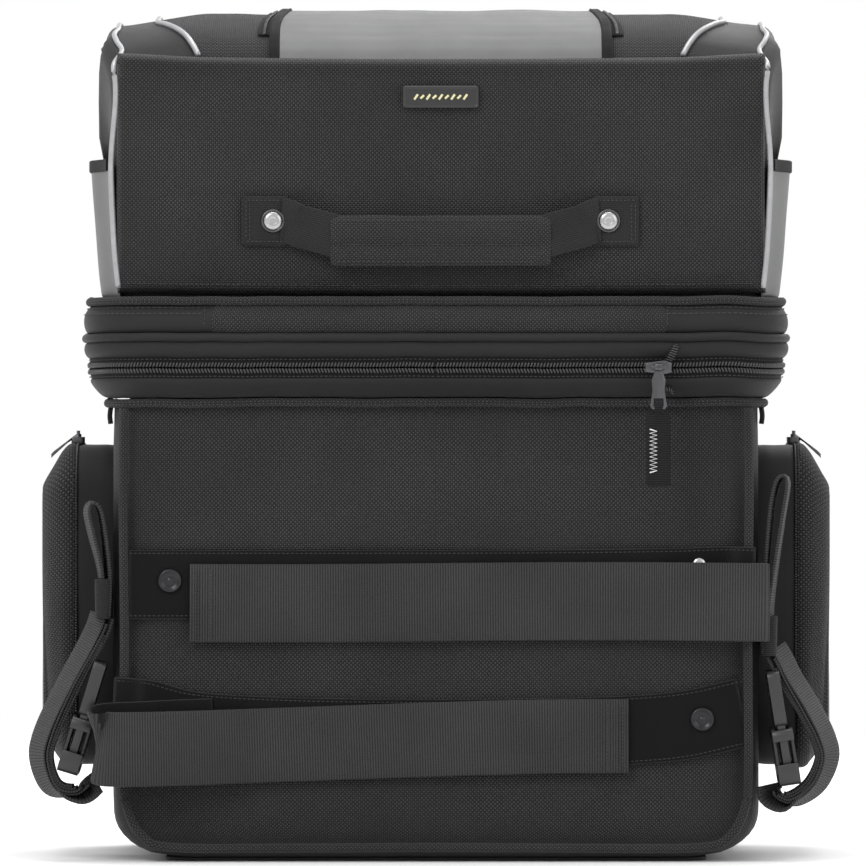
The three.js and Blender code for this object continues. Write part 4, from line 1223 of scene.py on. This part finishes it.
def buildBadge():
    low, high = boxOf("badge_patch")
    y = high[1]

    def place(u, v, h):
        return (u, y - h, v)

    def height(u, v):
        onRim = min(u - low[0], high[0] - u, v - low[2], high[2] - v) < 1.7
        return 2.0 if onRim else 1.35

    data = padMesh("badge_plate", (low[0], high[0]), (low[2], high[2]), place, height, edge=0.9, countU=60,
                   countV=24,
                   corner=2.2)
    finishPiece("badge_plate", data, "lid", [badgeRubber], ["badge_patch"])
    marks = []
    middle, level = (low[0] + high[0]) / 2, (low[2] + high[2]) / 2
    for k in range(9):
        x = middle - 16 + 4 * k
        tall = 2.2 if k % 2 else 3.4
        line = [Vector((x - 1.2, y - 1.75, level - tall * 0.5)),
                Vector((x + 1.2, y - 1.75, level + tall * 0.5))]
        marks.append(bandMesh("mark", curvePoints([tuple(p) for p in line], 1.2), (1, 0, 0), 1.5, 0.7))
    finishPiece("badge_marks", joinMeshes("badge_marks", marks), "lid", [badgeMark])


buildRollShell()
buildRearPanel()
buildSilverPiping()
buildRollFlap()
buildEndPockets()
buildBadge()
print("roll bag made")


# ---- carry handle ----

handleLook = dict(webWide=28, webThick=2.2, gripSoft=0.5)


def buildHandle():
    gripLow, gripHigh = boxOf("handle_grip")
    middleX = (gripLow[0] + gripHigh[0]) / 2
    gripY, gripZ = (gripLow[1] + gripHigh[1]) / 2, (gripLow[2] + gripHigh[2]) / 2
    for side, sign in (("left", -1), ("right", 1)):
        low, high = boxOf("handle_tab_" + side)
        back = high[1] + 0.6

        def place(u, v, h):
            return (u, back - h, v)

        data = padMesh("handle_tab_pad_" + side, (low[0], high[0]), (low[2], high[2]), place,
                       lambda u, v: 2.3 + 0.25 * wobble(u, 0, v, 12, 3), edge=1.2, countU=22, countV=22,
                       corner=2)
        finishPiece("handle_tab_pad_" + side, data, "lid", [webPlain], ["handle_tab_" + side])
        inX, inZ = 2.6, 2.6
        frameLine = [(low[0] + inX, low[2] + inZ), (high[0] - inX, low[2] + inZ),
                     (high[0] - inX, high[2] - inZ),
                     (low[0] + inX, high[2] - inZ), (low[0] + inX, low[2] + inZ)]
        lines = []
        for a, b in zip(frameLine, frameLine[1:]):
            lines.append([Vector((a[0] + (b[0] - a[0]) * k / 10, back - 2.45,
                                  a[1] + (b[1] - a[1]) * k / 10)) for k in range(11)])
        outer = low[0] + 5 if sign < 0 else high[0] - 5
        lines.append([Vector((outer, back - 2.45, low[2] + 3 + (high[2] - low[2] - 6) * k / 10))
                      for k in range(11)])
        addStitches("handle_tab_stitches_" + side, "lid", lines, (0, -1, 0), pitch=2.7, length=2.0,
                    radius=0.36, sink=0)
        rivetLow, rivetHigh = boxOf("handle_rivet_" + side)
        centre = ((rivetLow[0] + rivetHigh[0]) / 2, rivetHigh[1] + 0.2, (rivetLow[2] + rivetHigh[2]) / 2)
        ring = [(7.6, -0.4), (7.7, 0.5), (7.3, 1.0), (6.6, 1.1), (6.3, 0.7), (5.8, 0.6)]
        finishPiece("rivet_ring_" + side, latheMesh("rivet_ring_" + side, ring, centre, (0, -1, 0)), "lid",
                            [gunMetal], ["handle_rivet_" + side])
        dome = [(6.0, 0.3), (6.0, 1.0), (5.5, 1.7), (4.4, 2.2), (3.0, 2.45), (2.6, 2.4), (2.3, 2.25),
                (1.2, 2.3), (0.05, 2.3)]
        finishPiece("rivet_cap_" + side, latheMesh("rivet_cap_" + side, dome, centre, (0, -1, 0)), "lid",
                            [brightSteel])
        # the webbing leaves the tab and runs down into the grip
        startX = (high[0] - 3) if sign < 0 else (low[0] + 3)
        endX = middleX + sign * ((gripHigh[0] - gripLow[0]) / 2 - 12)
        rivetZ = centre[2]
        points = [(startX - sign * -1.5, low[1] + 0.2, rivetZ + 0.6),
                  (startX - sign * 3, low[1] - 0.6, rivetZ),
                  (startX - sign * 10, low[1] - 2.6, rivetZ - 3.5),
                  (endX + sign * 14, gripY - 0.8, gripZ + 4.5),
                  (endX + sign * 6, gripY, gripZ + 1.5), (endX, gripY, gripZ)]
        line = curvePoints(points, 1.6)
        data = bandMesh("handle_web_" + side, line, (0, 0, 1), handleLook["webWide"], handleLook["webThick"],
                        wave=lambda t, w: 0.35 * math.sin(3 * t + w))
        web = finishPiece("handle_web_" + side, data, None, [webPlain], ["handle_webbing"])
        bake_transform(web)
    section = [(-1.2, 16.2), (-3.4, 13.6), (-4.4, 9.5), (-4.5, 4.5), (-3.9, 0.6), (-2.7, -1.6),
               (-2.5, -3.0), (-3.3, -4.6),
               (-3.7, -8), (-3.3, -12.5), (-2.2, -15.6), (-0.4, -16.5), (1.6, -16.1), (2.9, -13), (3.3, -8),
               (3.6, -2.5),
               (4.1, 3), (4.2, 9), (3.4, 13.6), (1.2, 16.2)]
    ringLine = [(p.x, p.y) for p in curvePoints([(a, b, 0) for a, b in section], 1.4, closed=True)]
    rows = []
    long = gripHigh[0] - gripLow[0]
    ease = [0, 0.5, 1.4, 3.0, 6.0]
    stations = ease + [6 + (long - 12) * k / 60 for k in range(1, 60)] + [long - d for d in reversed(ease)]
    for d in stations:
        end = min(d, long - d)
        full = math.sqrt(max(1 - (1 - min(end / 5, 1)) ** 2, 0.16))
        x = gripLow[0] + d
        row = []
        for y, z in ringLine:
            soft = handleLook["gripSoft"] * (wobble(x, y * 3, z, 24, 5.2) + 0.5 * wobble(x, y, z, 9, 1.2))
            row.append((x, gripY + y * (0.55 + 0.45 * full) * (1 + 0.12 * soft),
                        gripZ + z * (0.86 + 0.14 * full) + soft * 0.6))
        rows.append(row)
    data = gridMesh("grip_wrap", rows, closeU=True, capLow=True, capHigh=True)
    grip = finishPiece("grip_wrap", data, "carry_handle", [cordura], ["handle_grip"], subdiv=1)
    seams = []
    for level, outward in ((-2.4, -2.75), (-13.6, -3.15), (13.2, -3.6)):
        seams.append([Vector((gripLow[0] + 4 + k * 3, gripY + outward * 1.02, gripZ + level))
                      for k in range(int((long - 8) / 3))])
    addStitches("grip_stitches", "carry_handle", seams, (0, -1, 0), pitch=3.2, length=2.3, radius=0.3,
                sink=-0.1)


buildHandle()
print("handle made")

# ---- backrest straps ----

strapLook = dict(lowerTilt=7.0, hammock=14.0, thick=2.4)


def snapPair(name, nodeName, bodyName):
    low, high = boxOf(nodeName)
    centre = ((low[0] + high[0]) / 2, high[1] + 0.1, (low[2] + high[2]) / 2)
    ring = [(7.7, -0.3), (7.8, 0.9), (7.3, 1.7), (6.4, 1.95), (5.6, 1.5), (4.9, 0.8), (3.0, 0.6),
            (1.4, 0.65), (1.1, 1.0), (0.05, 1.1)]
    finishPiece(name, latheMesh(name, ring, centre, (0, -1, 0), 40), bodyName, [snapMetal],
                [nodeName])


def buildStraps():
    for name, sign in (("upper", 1), ("lower", -1)):
        baseLow, baseHigh = boxOf(name + "_strap_base")
        low, high = boxOf(name + "_wide_strap")
        baseY, overY, tipY = baseHigh[1] - 1.2, baseLow[1] + 1.2, high[1] - 1.2
        seamX = min(abs(baseLow[0]), abs(baseHigh[0]))
        foldX = max(abs(low[0]), abs(high[0])) - 1.9
        farX = max(abs(baseLow[0]), abs(baseHigh[0]))
        width = baseHigh[2] - baseLow[2]
        baseZ = (baseLow[2] + baseHigh[2]) / 2

        def baseShift(x):
            if name == "upper":
                return 1.5 + 1.6 * smooth((x - 60) / 150) + 0.8 * math.sin(x / 23) * smooth(x / 120)
            return -5 + strapLook["hammock"] * smooth((abs(x) - 120) / 90)

        points = [(-sign * seamX, baseY), (-sign * 150, baseY), (-sign * 60, baseY + 0.1),
                  (sign * 60, baseY + 0.1),
                  (sign * 150, baseY), (sign * (seamX - 14), baseY - 0.2), (sign * (seamX - 2), overY),
                  (sign * farX, overY)]
        line = curvePoints([(x, y, baseZ + baseShift(x)) for x, y in points], 3)
        data = bandMesh(name + "_base_web", line, (0, 0, 1), width, 2.2, wave=lambda t,
                        w: 0.3 * math.sin(17 * t) * w)
        finishPiece(name + "_base_web", data, "main_bag", [loopBase], [name + "_strap_base"])
        edges = [[p + Vector((0, 0, side * (width / 2 - 2.2))) for p in line[::2]] for side in (-1, 1)]
        addStitches(name + "_base_stitches", "main_bag", edges, (0, -1, 0), pitch=3.0, length=2.1,
                    radius=0.28, sink=-1.2)
        snapPair(name + "_snap", name + "_strap_snap", "main_bag")

        middle = (low[2] + high[2]) / 2
        wide = high[2] - low[2]
        turns = {"upper": [(6, 0), (2, 0.6), (0.2, 2.3), (2, 3.9), (8, 4.6), (24, 4.6), (62, 1.6)],
                 "lower": [(74, -3.6), (44, -3.4), (24, 1.0), (10, 2.8), (1.6, 4.2), (-1, 7.6), (1.4, 11.8),
                           (12, 15.6),
                           (35, 16.0), (60, 9.4), (88, 1.6)]}[name]
        fold = foldX if name == "upper" else foldX - 0.8
        tip = low[0] if sign > 0 else high[0]

        def strapZ(x):
            if name == "upper":
                return middle + 0.7 * math.sin(x / 70)
            return middle + 3.0 - strapLook["lowerTilt"] * smooth((110 - x) / 330) * 1.15

        points = [(sign * (fold - inward), overY - outward) for inward, outward in turns]
        last = turns[-1][0]
        points += [(sign * (fold - last - 16), tipY - 0.2), (sign * (fold - last - 60), tipY)]
        joins = 6
        startX = sign * (fold - last - 60)
        points += [(startX + (tip - startX) * k / joins, tipY - 0.25 * (k % 2)) for k in range(1, joins + 1)]
        raised = [7.5, 7.0, 6.4, 6.0, 5.0, 2.6, 0.6] if name == "lower" else []
        raised += [0] * (len(points) - len(raised))
        line = curvePoints([(x, y, strapZ(x) + up) for (x, y), up in zip(points, raised)], 1.8)
        narrow = 1 if name == "upper" else 0.95

        def wave(t, w):
            return 0.45 * math.sin(9 * t + 1.5) * w * w + 0.2 * math.sin(23 * t) * w

        insideFirst = sign > 0
        data = bandMesh(name + "_strap_band", line, (0, 0, 1), wide * narrow, strapLook["thick"], wave=wave,
                        pick=lambda i, j: 1 if (i < 9) == insideFirst and 0 < i % 9 and j < 60 else 0)
        finishPiece(name + "_strap_band", data, name + "_strap", [webRib, loopBase],
                    [name + "_wide_strap"])
        tipX = line[-1].x
        bars = []
        for inset in (3.6, 5.4, 13.5):
            x = tipX + sign * inset
            bars.append([Vector((x, tipY - 1.55 - 0.2, strapZ(x) - wide * narrow / 2 + 1.8
                                 + k * (wide * narrow - 3.6) / 16)) for k in range(17)])
        addStitches(name + "_strap_end_stitches", name + "_strap", bars, (0, -1, 0), pitch=2.4, length=1.9,
                    radius=0.32, sink=0)
        # the stud of the hidden fastener shows over the strap's edge
        x = 171 if name == "upper" else -150
        studZ = strapZ(x) + wide * narrow / 2 - 1.4
        stud = [(4.2, -0.6), (4.4, 0.2), (4.0, 0.8), (2.4, 1.1), (0.05, 1.1)]
        studPiece = latheMesh(name + "_stud", stud, (x, baseY - 1.4, studZ), (0, -1, 0), 28)
        finishPiece(name + "_stud", studPiece, "main_bag", [brightSteel])


buildStraps()
print("backrest straps made")

# ---- side straps and buckles ----

sideLook = dict(width=38, layerThick=1.5)


def offsetLine(line, gap):
    # the same line moved sideways in the x-z plane
    moved = []
    for i, p in enumerate(line):
        along = (line[min(i + 1, len(line) - 1)] - line[max(i - 1, 0)]).normalized()
        moved.append(p + Vector((-along.z, 0, along.x)) * gap)
    return moved


sideRuns = {
    "left": dict(sign=-1, keeperLow=158,
                 loop=[(3.4, 160), (3, 186), (6, 216), (9, 230), (13.6, 233.4), (16.6, 228), (14, 214),
                       (7.4, 186), (7.2, 160)],
                 bundle=[(5.5, 160), (8.6, 151), (15, 138), (29, 112), (42, 84), (45.3, 66), (38, 47),
                         (23, 43), (10.5, 52)]),
    "right": dict(sign=1, keeperLow=134,
                  loop=[(3.4, 136), (3, 168), (7, 222), (11, 245), (15.6, 251), (18.4, 245), (15, 222),
                        (7.4, 168), (7.2, 136)],
                  bundle=[(9, 138), (13, 131), (19, 119), (30, 101), (40, 81), (42.8, 66), (35, 48),
                          (20, 37.6), (9, 42), (7, 50)]),
}


def buildSideStraps():
    for side, run in sideRuns.items():
        sign = run["sign"]
        low, high = boxOf("strap_bundle_" + side)
        y = (low[1] + high[1]) / 2
        width = sideLook["width"]

        def toBag(points, shift=0.0):
            return curvePoints([(sign * (halfWide + out), y + shift, z) for out, z in points], 2.2)

        line = toBag(run["loop"])
        data = bandMesh("side_loop_" + side, line, (sign * 0.1, 1, 0), width, 2.2, wave=lambda t,
                        w: 0.4 * math.sin(8 * t) * w)
        finishPiece("side_loop_" + side, data, "main_bag", [webRib], ["strap_anchor_" + side])
        # the spare webbing, folded over itself several times
        line = toBag(run["bundle"])
        layers = []
        count = len(line)
        for k, (gap, start, stop) in enumerate(((1.0, 0, 1.0), (-1.3, 0.02, 0.98), (-3.0, 0.04, 0.95),
                                                (-4.7, 0.08, 0.93), (-6.3, 0.1, 0.9))):
            part = offsetLine(line, sign * gap)[int(start * count):int(stop * count)]
            bent = [p + Vector((0, 0.6 * math.sin(k * 2.1), 0))
                    + Vector((0.5 * math.sin(i / 7 + k), 0, 0)) * (k > 1)
                    for i, p in enumerate(part)]
            lean = (sign * 0.48, 1, 0.08) if k == 0 else (sign * 0.02, 1, 0)
            layers.append(bandMesh("layer", bent, lean, width - 0.8 * (k % 2),
                                   2.4 if k == 0 else sideLook["layerThick"]))
        finishPiece("side_bundle_" + side, joinMeshes("side_bundle_" + side, layers), "strap_" + side,
                    [webRib],
                    ["strap_bundle_" + side])
        keeperLow, keeperHigh = boxOf("strap_keeper_" + side)
        midX, midY = (keeperLow[0] + keeperHigh[0]) / 2, (keeperLow[1] + keeperHigh[1]) / 2
        ring = planRing((keeperHigh[0] - keeperLow[0]) / 2 - 0.7, (keeperHigh[1] - keeperLow[1]) / 2 - 0.7,
                        4, 72, (midX, midY))
        midZ = (keeperLow[2] + keeperHigh[2]) / 2
        line = [Vector((a, b, midZ)) for a, b, _, _ in ring]
        data = bandMesh("side_keeper_" + side, line, (0, 0, 1), keeperHigh[2] - keeperLow[2], 1.5,
                        closed=True,
                        wave=lambda t, w: 0.35 * math.sin(14 * t) * w)
        finishPiece("side_keeper_" + side, data, "main_bag", [webPlain], ["strap_keeper_" + side])
        roundedCopy("buckle_female_" + side, "strap_" + side, bucklePlastic, 0.9)
        roundedCopy("buckle_male_" + side, "buckle_" + side, bucklePlastic, 0.8)
        # a sewn tab under the lid's rim
        x = sign * (halfWide + 1.4)
        points = [(x - sign * 0.6, -100, 300), (x + sign * 0.2, -100, 296), (x + sign * 0.9, -100, 290),
                  (x + sign * 0.3, -100, 285)]
        data = bandMesh("rim_tab_" + side, curvePoints(points, 1.4), (0, 1, 0), 22, 2.6)
        finishPiece("rim_tab_" + side, data, "main_bag", [webPlain])


buildSideStraps()
print("side straps made")

# ---- pockets ----

pocketLook = dict(around=220, faceBulge=1.4, cordInset=13.0, slope=0.045, taper=4.5)


def pocketPoint(frameOf, a, b, depth):
    centre, axisA, axisB, axisOut = frameOf
    return centre + axisA * a + axisB * b + axisOut * depth


def buildPocket(name, panelBody, gussetNode, panelNode, axisA, axisOut, faceCloth):
    low, high = boxOf(gussetNode)
    panelLow, panelHigh = boxOf(panelNode)
    out = Vector(axisOut)
    sideAxis = Vector(axisA)
    lowV, highV = Vector(low), Vector(high)
    middle = (lowV + highV) / 2
    span = highV - lowV
    halfA = abs(span.dot(sideAxis)) / 2
    halfB = span.z / 2
    gussetDeep = abs(span.dot(out))
    foot = middle - out * (gussetDeep / 2)
    frameOf = (foot, sideAxis, Vector((0, 0, 1)), out)
    panelDeep = abs((Vector(panelHigh) - Vector(panelLow)).dot(out))
    total = abs((Vector(panelHigh if out.x + out.y > 0 else panelLow) - foot).dot(out))
    start = total - panelDeep
    count = pocketLook["around"]
    turned = sideAxis.cross(Vector((0, 0, 1))).dot(out) < 0

    def ringsOf(profile, soft=1.0):
        rows = []
        for inset, depth in profile:
            row = []
            for a, b, na, nb in planRing(halfA - inset, halfB - inset, max(30 - inset, 1.5), count):
                droop = pocketLook["slope"] * max(depth - gussetDeep, 0) ** 2
                up = b / halfB
                b2 = b - droop * (max(up, 0) ** 3 - 0.35 * max(-up, 0) ** 3)
                taper = 0
                if inset < 15:
                    taper = smooth(-(up - 0.35) / 1.2) * smooth((depth - start - 3) / 12)
                p = pocketPoint(frameOf, a, b2, depth - taper * pocketLook["taper"])
                push = soft * (0.9 * wobble(p.x, p.y, p.z, 46, 4.1) + 0.4 * wobble(p.x, p.y, p.z, 17, 6.3))
                if inset > 16:
                    p = p + out * push * 0.8
                else:
                    p = p + (sideAxis * na + Vector((0, 0, nb))) * push
                row.append(p)
            rows.append(row)
        return rows

    wall = [(3.0, 0.3), (3.0, gussetDeep * 0.5), (3.0, gussetDeep - 0.4), (1.6, gussetDeep),
            (0.3, gussetDeep - 0.4),
            (-0.2, gussetDeep * 0.8), (0.3, gussetDeep * 0.55), (0.0, gussetDeep * 0.3), (0.4, 3), (0.8, 0.3)]
    data = gridMesh(name + "_wall", ringsOf(wall, 0.8), closeU=True, flip=not turned)
    finishPiece(name + "_wall", data, "main_bag", [nylon], [gussetNode], subdiv=1)

    deep = panelDeep
    shape = [(3.2, 0.3), (1.2, 0), (0.2, 1.2), (0.0, 4), (0.6, deep * 0.38), (2.6, deep * 0.56),
             (6.0, deep * 0.76),
             (9.6, deep * 0.87), (12.4, deep * 0.925), (13.6, deep * 0.91), (15.2, deep * 0.935),
             (20, deep * 0.965),
             (30, deep * 0.985), (44, deep), (60, deep + 0.6),
             (min(halfA, halfB) - 6, deep + pocketLook["faceBulge"]),
             (min(halfA, halfB) - 1.2, deep + pocketLook["faceBulge"])]
    profile = [(inset, start + d) for inset, d in shape]
    data = gridMesh(name + "_front", ringsOf(profile), closeU=True, flip=turned is False, capHigh=True,
                    pick=lambda i, j: 1 if j > 9 else 0)

    def held(x, y, z):
        gone = (Vector((x, y, z)) - foot)
        depth = gone.dot(out)
        a, b = abs(gone.dot(sideAxis)), abs(gone.z)
        nearSeam = min(halfA - a, halfB - b) < 18 and depth > start + deep * 0.8
        return depth < start + 5 or nearSeam

    settle(data, held, pressure=1.6, cap=2.0, gravity=0.5)
    finishPiece(name + "_front", data, panelBody, [cordura, faceCloth], [panelNode],
                        shell=2.2, subdiv=1)
    cordRow = ringsOf([(pocketLook["cordInset"], start + deep * 0.95)], 1.0)[0]
    data = tubeMesh(name + "_cord", [Vector(p) for p in cordRow], 1.5, closed=True, sides=9,
                    twistUp=tuple(out))
    finishPiece(name + "_cord", data, panelBody, [silverPiping])
    for label, body, depth, rise in (("low", "main_bag", gussetDeep - 1.0, 1),
                                     ("high", panelBody, start + 1.1, -1)):
        line, outs = [], []
        fine = planRing(halfA - 0.1, halfB - 0.1, 30, 500)
        for a, b, na, nb in fine:
            if b < -halfB + 34:
                if line:
                    break
                continue
            line.append(pocketPoint(frameOf, a, b, depth))
            outs.append(sideAxis * na + Vector((0, 0, nb)))
        data = teethMesh(name + "_teeth_" + label, line, outs, rise if turned else -rise, 1.75, 2.0)
        finishPiece(name + "_teeth_" + label, data, body, [coilPlastic])
    seam = [Vector(p) for p in ringsOf([(16.6, start + deep * 0.945)], 1.0)[0]]
    addStitches(name + "_face_stitches", panelBody, [seam + seam[:1]], tuple(out), pitch=3.4, length=2.4,
                sink=-0.3)


buildPocket("side_pocket_left", "side_pocket_left", "side_pocket_gusset_left", "side_pocket_panel_left",
            (0, -1, 0), (-1, 0, 0), greyCloth)
buildPocket("side_pocket_right", "side_pocket_right", "side_pocket_gusset_right", "side_pocket_panel_right",
            (0, 1, 0), (1, 0, 0), greyCloth)
buildPocket("front_pocket", "front_pocket", "front_pocket_gusset", "front_pocket_panel",
            (-1, 0, 0), (0, 1, 0), cordura)
print("pockets made")

# ---- zip sliders and small parts ----


def droopPull(piece, nodeName):
    # the fixed pull hangs down over the pocket's slope
    low, high = boxOf(nodeName)
    front = nodeName.startswith("front")
    sign = 1 if front or "right" in nodeName else -1
    start = (low[1] if front else (low[0] if sign > 0 else high[0]))
    for vertex in piece.data.vertices:
        reach = sign * ((vertex.co.y if front else vertex.co.x) / mm - start) - 8
        if reach > 0:
            vertex.co.z -= (0.75 * reach + 0.012 * reach * reach) * mm


def buildHardware():
    for name, body in (("expander_slider", "expander_slider"), ("lid_slider", "lid_slider"),
                       ("roll_slider", "roll_slider"),
                       ("front_pocket_slider", "front_pocket_slider"),
                       ("side_pocket_slider_left", "side_pocket_slider_left"),
                       ("side_pocket_slider_right", "side_pocket_slider_right"),
                       ("expander_pull", "expander_pull"),
                       ("lid_pull", "lid_pull"), ("roll_pull", "roll_pull")):
        piece = roundedCopy(name, body, gunMetal, 0.35)
        if "pocket" in name:
            droopPull(piece, name)
    roundedCopy("expander_puller", "expander_puller", cloths["pullerWeb"], 0.4)
    low, high = boxOf("expander_puller")
    middle = (low[0] + high[0]) / 2
    lowZ, highZ = low[2] + 9, low[2] + 37
    zig = [(middle - 3.4 + (2.3 if k % 2 else -2.3), low[1] + 2.0, lowZ + (highZ - lowZ) * k / 22)
           for k in range(23)]
    zig = [Vector(p) for p in zig]
    data = tubeMesh("puller_zigzag", zig, 0.5, sides=6, twistUp=(0, 1, 0))
    finishPiece("puller_zigzag", data, "expander_puller", [threadPale])
    roundedCopy("base_mat", "main_bag", matRubber, 0.8)


buildHardware()
print("hardware made")
